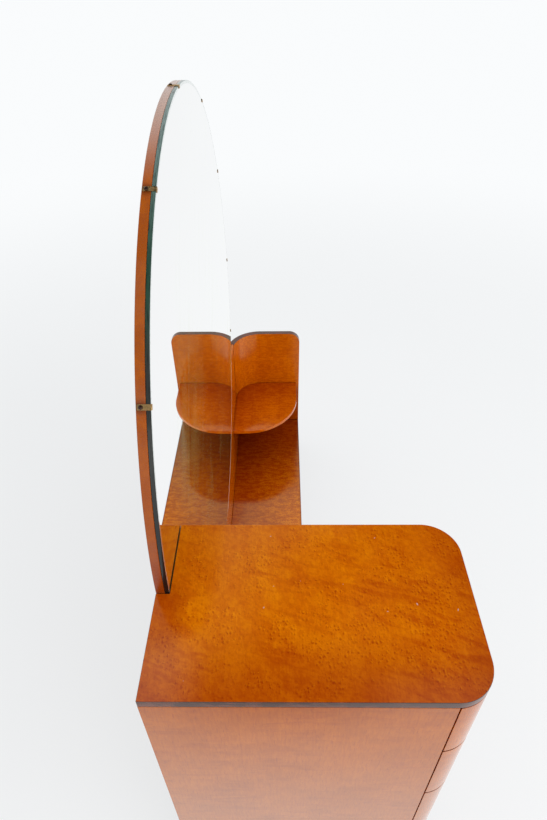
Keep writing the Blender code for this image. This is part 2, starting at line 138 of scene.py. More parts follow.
class Output:
    """A node's output. Reckoning with it adds the next node, so that a finish reads like a formula."""

    def __init__(self, node, output=0):
        self.node = node
        self.socket = node.outputs[output]

    def __getitem__(self, output):
        """Another output of the same node."""
        return Output(self.node, output)

    def to(self, kind, inputs, output=0, **settings):
        """A further node in the same tree."""
        return add_node(self.node.id_data, kind, inputs, output, **settings)

    def sums(self, operation, other):
        return self.to("ShaderNodeMath", {0: self, 1: other}, operation=operation)

    def __add__(self, other):
        return self.sums("ADD", other)

    def __sub__(self, other):
        return self.sums("SUBTRACT", other)

    def __mul__(self, other):
        return self.sums("MULTIPLY", other)

    def __truediv__(self, other):
        return self.sums("DIVIDE", other)

    def most(self, other):
        """The larger of two values."""
        return self.sums("MAXIMUM", other)

    def spread(self, low, high, to_low=0.0, to_high=1.0):
        """A value between two limits, eased to a new range."""
        inputs = {"Value": self, "From Min": low, "From Max": high, "To Min": to_low, "To Max": to_high}
        return self.to("ShaderNodeMapRange", inputs, interpolation_type="SMOOTHSTEP")

    def blend(self, first, second, kind="MIX"):
        """Two colours mixed by this amount."""
        inputs = {0: self, 6: opaque(first), 7: opaque(second)}
        return self.to("ShaderNodeMix", inputs, 2, data_type="RGBA", blend_type=kind)

    def darken(self, mask, most=1.0, tone=SHADE):
        """This colour multiplied by a tone where a mask is high."""
        return (mask * most).blend(self, tone, "MULTIPLY")

    def far_from(self, point=ZERO):
        """How far this place is from a point."""
        return self.to("ShaderNodeVectorMath", {0: self, 1: point}, "Value", operation="DISTANCE")

    def parts(self):
        """This place's X, Y and Z."""
        return self.to("ShaderNodeSeparateXYZ", {"Vector": self})

    def bump(self, depth, strength):
        """Relief as deep as given in metres."""
        return self.to("ShaderNodeBump", {"Height": self, "Distance": depth, "Strength": strength})


# %% Patterns and finishes
def own_place(tree):
    """The place on the piece, in metres."""
    return add_node(tree, "ShaderNodeTexCoord", {}, "Object")


def pattern_place(tree, size, turn=ZERO, shift=ZERO):
    """The place on the piece, counted in pattern sizes. One number is the size along all three axes."""
    size = [size] * 3 if isinstance(size, float) else size
    inputs = {"Vector": own_place(tree), "Location": shift, "Rotation": turn, "Scale": size}
    return add_node(tree, "ShaderNodeMapping", inputs, vector_type="TEXTURE")


def noise(tree, size, turn=ZERO, detail=2.0, rough=0.5, distortion=0.0):
    """Soft random values around one half, in a pattern of a given size."""
    place = pattern_place(tree, size, turn)
    inputs = {"Vector": place, "Scale": 1.0, "Detail": detail, "Roughness": rough, "Distortion": distortion}
    return add_node(tree, "ShaderNodeTexNoise", inputs)


def new_finish(name):
    """An empty finish: the material, its tree and its shader."""
    material = bpy.data.materials.new(name)
    material.use_nodes = True
    return material, material.node_tree, material.node_tree.nodes["Principled BSDF"]


def finish(name, recipe, *values, **options):
    """A finish whose shader gets what a recipe makes in its tree."""
    material, tree, shader = new_finish(name)
    fill(shader, recipe(tree, *values, **options))
    return material


# %% [markdown]
# ## Studio
#
# The table stands in a white studio: a pale floor, a white backdrop, and soft light from high up on the
# drawer side. Polish mirrors the room, so a photographer keeps a polished top from going milky with a flag,
# a dim cloth over the set that leaves the white open towards one corner. A picture wrapped round the world
# could hold such a room, but it is endlessly far away, so a low board and a high one would mirror the same
# part of it. A sheet at a real height gets that right, and only glossy rays see it. The world and the floor
# show white to camera and glossy rays through the Light Path node, and the floor runs out into the backdrop,
# so that no horizon shows. Its white is off inside the plinth, or it would shine out through the gaps, and a
# painted shadow dims it where the camera stands, which the near side mirrors as a slow change from top to
# bottom.

# %% World and floor
AMBIENT = 0.72
BACKDROP = (0.955, 0.97, 0.98)
FLOOR_COLOUR = (0.87, 0.875, 0.88)
FLOOR_WORN, MOTTLE_SIZE = 0.97, 0.35
FLOOR_RADIUS, FLOOR_STEPS = 14.0, 96
FADE_FROM, FADE_TO = 1.3, 4.0
FLOOR_GLOW = 0.70
FLOOR_MIRRORED = 0.97
FOOT_PLACE = (-1.03, 0.10, 0.0)
FOOT_SIZE = (0.17, 0.55, 1.0)
FOOT_DIM = 0.35


def ray_kinds(tree):
    """One for camera rays, and one for rays from a glossy surface or through glass."""
    path = add_node(tree, "ShaderNodeLightPath", {})
    return path["Is Camera Ray"], path["Is Glossy Ray"].most(path["Is Transmission Ray"])


def make_world():
    world = bpy.data.worlds.new("white_studio")
    world.use_nodes = True
    camera_ray, shiny_ray = ray_kinds(world.node_tree)
    strength = camera_ray.most(shiny_ray).spread(0.0, 1.0, AMBIENT, 1.0)
    fill(world.node_tree.nodes["Background"], {"Color": opaque(BACKDROP), "Strength": strength})
    scene.world = world


def drawn_mesh(name, shape):
    """A bmesh as a mesh."""
    mesh = bpy.data.meshes.new(name)
    shape.to_mesh(mesh)
    shape.free()
    return mesh


def stage_sheet(name, shape, material):
    """A sheet of the studio, which is no part of the table."""
    sheet = add_object(name, drawn_mesh(name, shape))
    sheet.data.materials.append(material)
    return sheet


def inside_plinth(tree, first, last):
    """One on the floor inside a frame of plinth boards, and 0 elsewhere."""
    low, high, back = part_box(first)[0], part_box(last)[1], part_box("plinth_back")[1].y
    middle = ((low.x + high.x) / 2, (low.y + back) / 2, 0.0)
    half = ((high.x - low.x) / 2, (back - low.y) / 2, 1.0)
    place = pattern_place(tree, half, shift=middle)
    away = place.to("ShaderNodeVectorMath", {0: place}, operation="ABSOLUTE").parts()
    return away["X"].most(away["Y"]).sums("LESS_THAN", 1.0)


def make_floor():
    shape = bmesh.new()
    bmesh.ops.create_circle(shape, cap_ends=True, segments=FLOOR_STEPS, radius=FLOOR_RADIUS)
    material, tree, shader = new_finish("pale_floor")
    worn = [FLOOR_WORN * value for value in FLOOR_COLOUR]
    colour = noise(tree, MOTTLE_SIZE, detail=4.0).blend(FLOOR_COLOUR, worn)
    fill(shader, {"Base Color": colour, "Roughness": 0.75, "IOR": 1.2})
    camera_ray, shiny_ray = ray_kinds(tree)
    far = own_place(tree).far_from().spread(FADE_FROM, FADE_TO, FLOOR_GLOW, 1.0)
    # Painted shadow where the camera stands, seen only by glossy rays.
    foot = pattern_place(tree, FOOT_SIZE, shift=FOOT_PLACE).far_from()
    shade = foot.spread(0.0, 1.0, FOOT_DIM, 1.0).most(camera_ray)
    white = add_node(tree, "ShaderNodeEmission", {"Color": opaque(BACKDROP), "Strength": shade})
    under_cabinet = inside_plinth(tree, "plinth_cabinet_front", "plinth_cabinet_inner")
    under_platform = inside_plinth(tree, "plinth_platform_front", "plinth_end")
    outside = under_cabinet.most(under_platform).spread(0.0, 1.0, 1.0, 0.0)
    amount = (far * camera_ray).most(shiny_ray * FLOOR_MIRRORED) * outside
    mixed = add_node(tree, "ShaderNodeMixShader", {0: amount, 1: Output(shader), 2: white})
    fill(tree.nodes["Material Output"], {"Surface": mixed})
    stage_sheet("studio_floor", shape, material)


make_world()
make_floor()
print("studio: floor", FLOOR_RADIUS, "m round")

# %% Flag and lamp
FLAG_HEIGHT = 2.975
FLAG_SIZE = 14.0
FLAG_DIM, FLAG_GREY, FLAG_WHITE = 0.005, 0.15, 0.88
OPEN_SLOPE = 0.8
OPEN_FROM, OPEN_TO = 0.65, 2.0
GREY_FROM, GREY_TO = -0.6, 0.0
LAMP_PLACE, LAMP_AIM = Vector((-1.9, -2.2, 2.6)), Vector((0.1, 0.0, 0.4))
LAMP_SIZE, LAMP_POWER = 2.8, 62.0


def make_flag():
    """A dim cloth overhead, open to the white at the far back and a little lighter at the near front."""
    shape = bmesh.new()
    bmesh.ops.create_grid(shape, x_segments=1, y_segments=1, size=FLAG_SIZE / 2)
    bmesh.ops.translate(shape, verts=shape.verts, vec=(0.0, 0.0, FLAG_HEIGHT))
    material, tree, _ = new_finish("flag_cloth")
    place = own_place(tree).parts()
    white_part = (place["Y"] + place["X"] * OPEN_SLOPE).spread(OPEN_FROM, OPEN_TO, FLAG_DIM, FLAG_WHITE)
    grey_part = (place["X"] + place["Y"]).spread(GREY_FROM, GREY_TO, FLAG_GREY, 0.0)
    inputs = {"Color": opaque(BACKDROP), "Strength": white_part.most(grey_part)}
    fill(tree.nodes["Material Output"], {"Surface": add_node(tree, "ShaderNodeEmission", inputs)})
    flag = stage_sheet("overhead_flag", shape, material)
    flag.visible_camera = False
    flag.visible_diffuse = False
    flag.visible_transmission = False
    flag.visible_shadow = False


def make_lamp():
    """A square soft box that points at a place on the table."""
    lamp = add_object("window_light", bpy.data.lights.new("window_light", "AREA"))
    lamp.data.size = LAMP_SIZE
    lamp.data.energy = LAMP_POWER
    lamp.location = LAMP_PLACE
    lamp.rotation_euler = (LAMP_AIM - LAMP_PLACE).to_track_quat("-Z", "Y").to_euler()
    lamp.visible_glossy = False


make_flag()
make_lamp()
print("flag:", FLAG_HEIGHT, "m up; lamps:", len(bpy.data.lights))

# %% [markdown]
# ## Sizes from the frame
#
# What a box can't tell, such as the radius of a round corner or the gap between two boards, is written
# in the cell that first needs it.

# %% Sizes
DRAWERS = [name for name in frame["bodies"] if name.startswith("drawer")]

top_low, top_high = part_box("cabinet_top")
glass_low, glass_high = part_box("mirror_glass")
board_low, board_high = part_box("back_board")
facing_low, facing_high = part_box("back_facing")
end_low, end_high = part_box("end_panel")
platform_low, platform_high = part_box("platform")
shelf_low, shelf_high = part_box("shelf")
mirror_centre = (glass_low + glass_high) / 2
mirror_radius = (glass_high.x - glass_low.x) / 2
print("mirror: radius", round(mirror_radius, 4), "m; drawers:", len(DRAWERS))

# %% [markdown]
# ## Veneer
#
# The table is covered in a figured veneer under a glossy amber polish. Close up it shows clouds of redder
# and lighter colour a hand wide, grain lines, dark streaks in patches, short curls across the grain, a peel
# of soft dots, pores, and dark eyes of two sizes, the larger with a painted highlight on one side. A
# photographed veneer would be quicker, but it repeats, and its figure can't follow another size. So each mark
# is a noise or Voronoi texture at its real size, and one recipe mixes them for all boards. Painted shade
# darkens a board where a neighbour keeps the light off, and a thin film, partly dust and partly painted
# sheen, makes it paler in places: both are reaches along the table's axes. Beyond that painted highlight and
# sheen, the shader itself reflects more at a grazing angle.

# %% Marks in the wood
FINE_CLOUD = 0.22
GRAIN_LINE, GRAIN_BAND = (0.16, 0.0016), (0.5, 0.011)
SPOT_LENGTH, SPOT_WOBBLE = 1.2, (0.8, 0.8, 0.8)
EYE_SMALL, EYE_LARGE = 0.20, 0.56
CLUSTER_SIZE, CLUSTER_TURN = (0.05, 0.032, 0.04), (0.0, 0.0, 1.27)


def axis_size(along, length, width):
    """A pattern size that is long along one axis and narrow across it."""
    return tuple(length if axis == along else width for axis in "XYZ")


def figure_clouds(tree, size, turn):
    """Wide cloudy patches, from 0 for the lighter to 1 for the deeper colour."""
    wide = noise(tree, size, turn, detail=3.0, rough=0.55, distortion=0.7)
    fine = noise(tree, [FINE_CLOUD * value for value in size], turn)
    return (wide * 0.66 + fine * 0.34).spread(0.34, 0.66)


def grain_lines(tree, along):
    """Fine straight grain, around one half."""
    lines = noise(tree, axis_size(along, *GRAIN_LINE), detail=3.0, rough=0.6)
    return lines * 0.6 + noise(tree, axis_size(along, *GRAIN_BAND)) * 0.4


def spots(tree, cell, small, large, shift=0.0, flat=False):
    """Uneven spots of random sizes, one to a cell: how deep a place lies in one, and the spot's number."""
    place = pattern_place(tree, (cell * SPOT_LENGTH, cell, cell), shift=(shift, -shift, shift))
    wobble = place.to("ShaderNodeTexNoise", {"Vector": place, "Scale": 1.2, "Detail": 1.0}, "Color")
    bent = place.to("ShaderNodeVectorMath", {0: wobble, 1: SPOT_WOBBLE, 2: place}, operation="MULTIPLY_ADD")
    inputs = {"Vector": bent, "Scale": 1.0, "Randomness": 1.0}
    cells = place.to("ShaderNodeTexVoronoi", inputs, voronoi_dimensions="2D" if flat else "3D")
    chance = place.to("ShaderNodeSeparateColor", {"Color": cells["Color"]})
    depth = cells["Distance"] / chance["Red"].spread(0.0, 1.0, small / cell, large / cell)
    return depth.spread(0.0, 1.0, 1.0, 0.0), chance["Green"]


def eyes(tree, amount, cell, shift, flat):
    """Small eyes in clusters, 0 between them and up to 1 in the middle of one."""
    soft, number = spots(tree, cell, cell * EYE_SMALL, cell * EYE_LARGE, shift, flat)
    near = noise(tree, CLUSTER_SIZE, CLUSTER_TURN, detail=3.0).spread(0.38, 0.60, 0.18, 1.0)
    return soft * number.spread(0.05, 0.75) * near * amount


print("grain lines:", GRAIN_LINE, "m; clusters of eyes:", CLUSTER_SIZE, "m")

# %% Veneer recipe
EYE_TONE = (0.66, 0.36, 0.6)
EYE_LIGHT = (0.90, 0.33, 0.0)
DUST = (0.60, 0.50, 0.44)
POLISH_TINT = (1.0, 0.96, 0.5)
STREAK_PATCH = (0.12, 0.09, 0.12)
PEEL_SIZE, PEEL_TURN = (0.0036, 0.0029, 0.0032), (0.0, 0.0, 0.6)
PORE = (0.016, 0.0011)
EYE_CELL, EYE_LIT_SHIFT = 0.0050, 0.0013
SMALL_EYE_CELL, SMALL_EYE_SHIFT = 0.0031, 0.4
FLECK_CELL, FLECK_SMALL, FLECK_LARGE = 0.05, 0.0007, 0.0014
HAZE_SIZE = 0.09
SKIN_RELIEF = (0.00003, 0.2)


def reach_along(tree, axis, start, end):
    """From 0 at one place along an axis of the table to 1 at another."""
    place = own_place(tree).parts()[axis]
    return place.spread(start, end) if start < end else place.spread(end, start, 1.0, 0.0)


def reach_mask(tree, first, *others):
    """Several reaches multiplied, so that only the place where all of them are high counts."""
    mask = reach_along(tree, *first)
    for reach in others:
        mask = mask * reach_along(tree, *reach)
    return mask


def veneer(tree, light, deep, along, clouds, curl, curl_depth, peel=(0.4, 1.0), turn=0.0, eye=0.3,
           shine=0.12, pore_depth=0.3, streaks=None, ior=1.55, sheltered=(), films=(), dusty=False):
    """Figured veneer under polish. The grain and the curls each run along an axis."""
    colour = figure_clouds(tree, clouds, (0.0, 0.0, turn)).blend(light, deep)
    colour = colour.darken(grain_lines(tree, along).spread(0.3, 0.7), 0.30)
    if streaks:
        length, width, lean, depth = streaks
        band = noise(tree, (length, width, width), (0.0, 0.0, lean), detail=3.0, distortion=0.5)
        patch = noise(tree, STREAK_PATCH, detail=1.0).spread(0.38, 0.60, 0.25, 1.0)
        colour = colour.darken(band.spread(0.47, 0.66) * patch, depth)
    ripple = noise(tree, axis_size(*curl), detail=1.5, distortion=0.4)
    colour = colour.darken(ripple.spread(0.40, 0.60), curl_depth)
    peel_depth, peel_scale = peel
    skin = noise(tree, [peel_scale * value for value in PEEL_SIZE], PEEL_TURN, rough=0.6)
    colour = colour.darken(skin.spread(0.40, 0.62), peel_depth)
    pores = noise(tree, axis_size(along, *PORE), detail=1.0)
    colour = colour.darken(pores.spread(0.60, 0.74), pore_depth)
    speck = eyes(tree, eye, EYE_CELL, 0.0, dusty)
    # Painted highlight: a lighter side on each large eye, as on a dimple that catches the light.
    lit_side = eyes(tree, eye, EYE_CELL, EYE_LIT_SHIFT, dusty)
    colour = (lit_side * 0.45).blend(colour, EYE_LIGHT).darken(speck, 1.0, EYE_TONE)
    colour = colour.darken(eyes(tree, eye, SMALL_EYE_CELL, SMALL_EYE_SHIFT, dusty), 0.5, EYE_TONE)
    # Painted shade: darker where a neighbouring part keeps the light off.
    for tone, *reaches in sheltered:
        colour = colour.darken(reach_mask(tree, *reaches), 1.0, tone)
    # A pale film, partly dust and partly painted sheen.
    for amount, *reaches in films:
        colour = (reach_mask(tree, *reaches) * amount).blend(colour, DUST)
    if dusty:
        fleck, number = spots(tree, FLECK_CELL, FLECK_SMALL, FLECK_LARGE, flat=True)
        colour = (fleck * number.spread(0.70, 0.74)).blend(colour, DUST)
    haze = noise(tree, HAZE_SIZE, detail=3.0)
    return {
        "Base Color": colour,
        "Roughness": haze.spread(0.3, 0.7, shine * 0.75, shine * 1.25),
        "IOR": ior,
        "Specular Tint": opaque(POLISH_TINT),
        "Normal": (skin - speck).bump(*SKIN_RELIEF),
    }


print("pores:", PORE, "m; eyes:", EYE_CELL, "and", SMALL_EYE_CELL, "m apart")

# %% The table's veneers
# Painted shade darkens each board in the reaches of its first list: under the shelf, in the corners of the
# nook, under the top's edge and beside the foot of the mirror. The films are partly dust and partly painted
# sheen, as on the back of the top and low on the near side.
burr_veneer = finish(
    "burr_veneer", veneer, (0.82, 0.236, 0.0), (0.70, 0.162, 0.0), along="X", clouds=(0.11, 0.07, 0.1),
    curl=("X", 0.009, 0.0024), curl_depth=0.15, peel=(0.50, 1.7), turn=0.55, eye=1.0,
    streaks=(0.055, 0.011, 1.27, 0.66),
    sheltered=[
        ((0.68, 0.48, 0.5), ("X", top_low.x + 0.115, top_low.x)),
        ((0.83, 0.72, 0.8), ("Y", top_low.y + 0.055, top_low.y)),
        ((0.86, 0.77, 0.8), ("Y", -0.02, top_low.y + 0.04), ("X", top_low.x + 0.06, top_low.x + 0.14)),
        (
            (0.70, 0.50, 0.5), ("Y", glass_low.y - 0.033, glass_low.y - 0.005),
            ("X", top_low.x + 0.165, top_low.x + 0.13), ("X", top_low.x + 0.03, top_low.x + 0.08),
        ),
    ],
    films=[
        (0.065, ("Y", 0.135, 0.20), ("X", top_low.x + 0.10, top_low.x + 0.04)),
        (0.02, ("Y", -0.02, -0.10), ("X", top_low.x + 0.05, top_low.x)),
    ],
    dusty=True,
)
nook_veneer = finish(
    "nook_veneer", veneer, (0.75, 0.190, 0.0), (0.65, 0.148, 0.0), along="Z", clouds=(0.09, 0.09, 0.16),
    curl=("Y", 0.015, 0.0046), curl_depth=0.70, shine=0.18,
    sheltered=[((0.60, 0.42, 0.4), ("Z", shelf_high.z, shelf_low.z - 0.02))],
)
facing_veneer = finish(
    "facing_veneer", veneer, (0.75, 0.188, 0.0), (0.65, 0.146, 0.0), along="Z", clouds=(0.09, 0.09, 0.16),
    curl=("X", 0.015, 0.0046), curl_depth=0.80,
    sheltered=[
        ((0.55, 0.42, 0.4), ("X", shelf_low.x - 0.10, shelf_low.x + 0.10), ("Z", shelf_high.z, shelf_low.z))
    ],
)
shelf_veneer = finish(
    "shelf_veneer", veneer, (0.79, 0.193, 0.0), (0.69, 0.150, 0.0), along="X", clouds=(0.10, 0.10, 0.10),
    curl=("Y", 0.017, 0.0060), curl_depth=0.72, peel=(0.55, 1.0), pore_depth=0.5,
    sheltered=[
        ((0.70, 0.54, 0.5), ("X", shelf_low.x + 0.06, shelf_high.x)),
        ((0.60, 0.50, 0.5), ("X", shelf_high.x - 0.006, shelf_high.x - 0.001)),
        ((0.75, 0.65, 0.6), ("Y", shelf_high.y - 0.008, shelf_high.y - 0.001)),
        (
            (0.74, 0.60, 0.6), ("Y", shelf_high.y - 0.13, shelf_high.y),
            ("X", shelf_low.x, shelf_low.x + 0.035),
        ),
    ],
)
platform_veneer = finish(
    "platform_veneer", veneer, (0.87, 0.258, 0.0), (0.775, 0.208, 0.0), along="X", clouds=(0.14, 0.08, 0.1),
    curl=("Y", 0.023, 0.0068), curl_depth=1.0, peel=(1.0, 1.0), eye=0.5, pore_depth=0.6, ior=1.75,
    sheltered=[
        ((0.42, 0.25, 0.3), ("X", shelf_low.x - 0.24, shelf_low.x + 0.20)),
        ((0.60, 0.42, 0.5), ("Y", platform_low.y, platform_high.y)),
        ((0.40, 0.30, 0.3), ("X", platform_high.x - 0.008, platform_high.x - 0.001)),
        ((0.62, 0.52, 0.5), ("Y", platform_low.y + 0.005, platform_low.y + 0.001)),
    ],
)
side_veneer = finish(
    "side_veneer", veneer, (0.595, 0.140, 0.0), (0.515, 0.110, 0.0), along="Z", clouds=(0.08, 0.10, 0.09),
    curl=("Z", 0.020, 0.0032), curl_depth=0.34, peel=(0.12, 1.0), shine=0.14, pore_depth=0.9, ior=1.66,
    streaks=(0.06, 0.014, 1.571, 0.54),
    sheltered=[((0.90, 0.83, 0.9), ("Z", top_low.z - 0.07, top_low.z))],
    films=[(0.12, ("Z", top_low.z - 0.05, top_low.z - 0.36), ("X", top_low.x + 0.05, top_low.x + 0.01))],
)
end_veneer = finish(
    "end_veneer", veneer, (0.66, 0.165, 0.0), (0.57, 0.130, 0.0), along="Z", clouds=(0.09, 0.10, 0.16),
    curl=("Y", 0.015, 0.0046), curl_depth=0.50, shine=0.14,
)
print("materials with the veneers:", len(bpy.data.materials))

# %% [markdown]
# ## Dark edges, plain boards and pale timber
#
# The edges of the boards are stained black and polished. Handling has worn the stain along the rim, so that
# red wood shows through in uneven stretches, but the plinth and the knobs have kept most of theirs. A mask
# painted by hand could do it, but two noises added together wear every edge alike. The rim of the board
# behind the glass is plain reddish wood, with a pale film on top that is partly dust and partly painted
# sheen, painted shade towards its foot and a darker ring round each screw, and its back is plain brown.
# Inside the drawers the timber is pale, with its grain along each board.

# %% Dark edges and plain woods
STAIN_BLACK = (0.060, 0.018, 0.012)
STAIN_BROWN = (0.110, 0.042, 0.026)
WORN_RED = (0.17, 0.045, 0.024)
SCREW_STAIN = (0.50, 0.46, 0.8)
STAIN_FROM, STAIN_TO = 0.003, 0.013
KEPT_STAIN = 0.09
WORN_SIZE, RUB = 0.05, (0.02, 0.003)
RING, WOOD_PORE = (0.7, 0.03), (0.012, 0.0006)
FILM_SIZE = 0.12
EDGE_RELIEF, WOOD_RELIEF = (0.0001, 0.2), (0.00012, 0.4)
PALE_TIMBER, DEEP_TIMBER = (0.60, 0.40, 0.20), (0.44, 0.26, 0.115)


def dark_edge(tree, along, stain=STAIN_BLACK, rubbed_from=None, spared=0.0):
    """Dark stain, worn through to the red wood in uneven stretches, and more towards one side if given."""
    rubbed = noise(tree, axis_size(along, *RUB), detail=3.0)
    worn = noise(tree, WORN_SIZE, detail=5.0, rough=0.62) * 0.7 + rubbed * 0.3
    if rubbed_from:
        worn = worn + reach_along(tree, *rubbed_from) * 0.10
    return {
        "Base Color": worn.spread(0.47 + spared, 0.68 + spared).blend(stain, WORN_RED),
        "Roughness": rubbed.spread(0.3, 0.7, 0.14, 0.26),
        "Normal": rubbed.bump(*EDGE_RELIEF),
    }


def plain_wood(tree, light, deep, along, shine, specular=0.5, stained_at=(), shaded=(), dusted=()):
    """Straight-grained wood, darker round given points, with painted shade, and with dust and painted sheen,
    along given reaches.
    """
    grain = grain_lines(tree, along).spread(0.32, 0.68)
    rings = noise(tree, axis_size(along, *RING), distortion=0.8)
    colour = rings.spread(0.42, 0.60, 0.0, 0.45).blend(grain.blend(light, deep), deep)
    pore = noise(tree, axis_size(along, *WOOD_PORE), detail=1.0).spread(0.64, 0.74)
    colour = (pore * 0.5).blend(colour, [value * 0.45 for value in deep])
    # Darker round each given point.
    for point in stained_at:
        away = own_place(tree).far_from(point)
        colour = colour.darken(away.spread(STAIN_FROM, STAIN_TO, 1.0, 0.0), 1.0, SCREW_STAIN)
    # Painted shade.
    for reach in shaded:
        colour = colour.darken(reach_along(tree, *reach))
    # A pale film, partly dust and partly painted sheen.
    for reach in dusted:
        thin = noise(tree, FILM_SIZE, detail=3.0).spread(0.45, 0.65, 0.0, 0.07)
        colour = (reach_along(tree, *reach) * 0.6).most(thin).blend(colour, DUST)
    return {
        "Base Color": colour,
        "Roughness": grain.spread(0.0, 1.0, shine * 0.85, shine * 1.15),
        "Specular IOR Level": specular,
        "Normal": (grain - pore).bump(*WOOD_RELIEF),
    }


def rim_point(node, depth):
    """The point of the mirror's rim under a clip or its screw, at a depth along Y."""
    low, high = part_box(node)
    out = (low + high) / 2 - mirror_centre
    out.y = 0.0
    place = mirror_centre + out.normalized() * mirror_radius
    return place.x, depth, place.z


screw_nodes = sorted(name for name in frame["nodes"] if name.startswith("clip_screw"))
screw_y = (board_low.y + board_high.y) / 2
screw_points = [rim_point(node, screw_y) for node in screw_nodes]

edge_black = finish("edge_black", dark_edge, "Y", rubbed_from=("Z", top_high.z - 0.003, top_low.z))
end_edge = finish("end_edge", dark_edge, "Y", STAIN_BROWN)
plinth_black = finish("plinth_black", dark_edge, "X", spared=KEPT_STAIN)
knob_black = finish("knob_black", dark_edge, "Z", spared=KEPT_STAIN)
rim_wood = finish(
    "rim_wood", plain_wood, (0.44, 0.098, 0.002), (0.34, 0.066, 0.002), "X", shine=0.26, specular=0.42,
    stained_at=screw_points,
    # Painted shade on the lower half of the rim; on top a pale film, partly dust and partly painted sheen.
    shaded=[("Z", mirror_centre.z + 0.13, mirror_centre.z + 0.03)],
    dusted=[("Z", mirror_centre.z + 0.46, glass_high.z + 0.005)],
)
back_wood = finish("back_wood", plain_wood, (0.30, 0.115, 0.045), (0.215, 0.075, 0.028), "X", shine=0.50)
# Bare wood and painted highlight: the pale chamfer beside the glass.
bare_edge = finish("bare_edge", plain_wood, (0.86, 0.76, 0.62), (0.72, 0.58, 0.42), "Z", shine=0.45)
drawer_timber = finish("drawer_timber", plain_wood, PALE_TIMBER, DEEP_TIMBER, "Y", shine=0.55)
cross_timber = finish("cross_timber", plain_wood, PALE_TIMBER, DEEP_TIMBER, "X", shine=0.55)
print("materials with the plain woods:", len(bpy.data.materials))

# %% [markdown]
# ## Glass and brass
#
# The mirror is silvered plate glass. What it shows is a little greener than the thing itself, because thick
# glass scatters some green light: a very faint painted glow in that colour stands for it, far cheaper than
# tracing light inside the glass. Dry wipe marks lie on it as a thin film, made with the shader's sheen,
# because such a film shows at a slant and is almost gone from the front. The silver stops just short of the
# rim and leaves a narrow pale margin. The ground edge has the green of thick glass, with painted shade and
# light by height: nearly black low down, where it looks into the board, grey further up, then green, and a
# painted highlight at the top. The clips are thin brass that has gone brown in the hollows, and their screws
# are darker still.

# %% Glass and brass finishes
SILVER = (0.930, 0.915, 0.925)
VEIL, VEIL_STRENGTH = (0.35, 1.0, 0.25), 0.010
WIPED_AT = (mirror_centre.x - 0.226, glass_low.y, mirror_centre.z + 0.08)
WIPED_FROM, WIPED_TO = 0.05, 0.22
WIPE_SIZE, WIPE_TURN = (0.034, 0.05, 0.30), (0.0, 0.72, 0.0)
WIPE_FILM, WIPE_TINT = 0.15, (0.80, 1.0, 0.30)
WIPED_SILVER = (0.90, 0.90, 0.89)
GLASS_PALE = (0.16, 0.24, 0.22)
GLASS_GREEN = (0.024, 0.070, 0.044)
GLASS_GREY = (0.038, 0.040, 0.036)
GLASS_DARK = (0.006, 0.008, 0.008)
MARGIN_PALE, MARGIN_DUSTY = (0.80, 0.83, 0.82), (0.66, 0.70, 0.68)
TARNISH_SIZE, TARNISH_RELIEF = 0.004, (0.00008, 0.4)
PATCH_SIZE = 0.25
EDGE_STREAK = (0.02, 0.0012, 0.02)


def silvered_face(tree):
    wipes = noise(tree, WIPE_SIZE, WIPE_TURN, detail=3.0, distortion=0.6)
    patches = noise(tree, PATCH_SIZE)
    low_down = reach_along(tree, "Z", mirror_centre.z + 0.10, mirror_centre.z - 0.20)
    mark = wipes.spread(0.50, 0.74) * patches.spread(0.40, 0.60) * (low_down * 0.8 + 0.2)
    near = own_place(tree).far_from(WIPED_AT).spread(WIPED_FROM, WIPED_TO, 1.0, 0.0)
    mark = mark.most(near * wipes.spread(0.42, 0.62, 0.15, 1.0))
    return {
        "Base Color": mark.blend(SILVER, WIPED_SILVER),
        "Roughness": mark.spread(0.0, 1.0, 0.004, 0.03),
        "Metallic": 0.998,
        "Sheen Weight": mark * WIPE_FILM,
        "Sheen Tint": opaque(WIPE_TINT),
        "Sheen Roughness": 0.5,
        # A faint painted green glow over the whole glass.
        "Emission Color": opaque(VEIL),
        "Emission Strength": patches.spread(0.3, 0.7, VEIL_STRENGTH * 0.8, VEIL_STRENGTH * 1.2),
    }


def glass_edge(tree):
    streaks = noise(tree, EDGE_STREAK)
    middle = mirror_centre.z
    # Painted shade low down and painted light towards the top, by height.
    colour = reach_along(tree, "Z", middle + 0.10, middle + 0.26).blend(GLASS_DARK, GLASS_GREY)
    colour = reach_along(tree, "Z", middle + 0.31, middle + 0.39).blend(colour, GLASS_GREEN)
    colour = reach_along(tree, "Z", middle + 0.39, glass_high.z).blend(colour, GLASS_PALE)
    return {
        "Base Color": streaks.spread(0.42, 0.72, 0.0, 0.6).blend(colour, GLASS_DARK),
        "Roughness": streaks.spread(0.3, 0.7, 0.10, 0.22),
    }


def pale_margin(tree):
    dust = noise(tree, TARNISH_SIZE)
    return {
        "Base Color": dust.spread(0.4, 0.7).blend(MARGIN_PALE, MARGIN_DUSTY),
        "Roughness": dust.spread(0.3, 0.7, 0.08, 0.2),
        "Metallic": 0.81,
    }


def brass(tree, bright, brown):
    tarnish = noise(tree, TARNISH_SIZE, detail=4.0, rough=0.6)
    amount = tarnish.spread(0.35, 0.68)
    return {
        "Base Color": amount.blend(bright, brown),
        "Roughness": amount.spread(0.0, 1.0, 0.28, 0.55),
        "Metallic": amount.spread(0.0, 1.0, 1.0, 0.55),
        "Normal": tarnish.bump(*TARNISH_RELIEF),
    }


mirror_silver = finish("silvered_face", silvered_face)
ground_edge = finish("glass_edge", glass_edge)
margin_glass = finish("pale_margin", pale_margin)
clip_brass = finish("clip_brass", brass, (0.66, 0.43, 0.17), (0.34, 0.20, 0.08))
screw_brass = finish("screw_brass", brass, (0.16, 0.09, 0.06), (0.05, 0.03, 0.03))
print("materials with glass and brass:", len(bpy.data.materials))

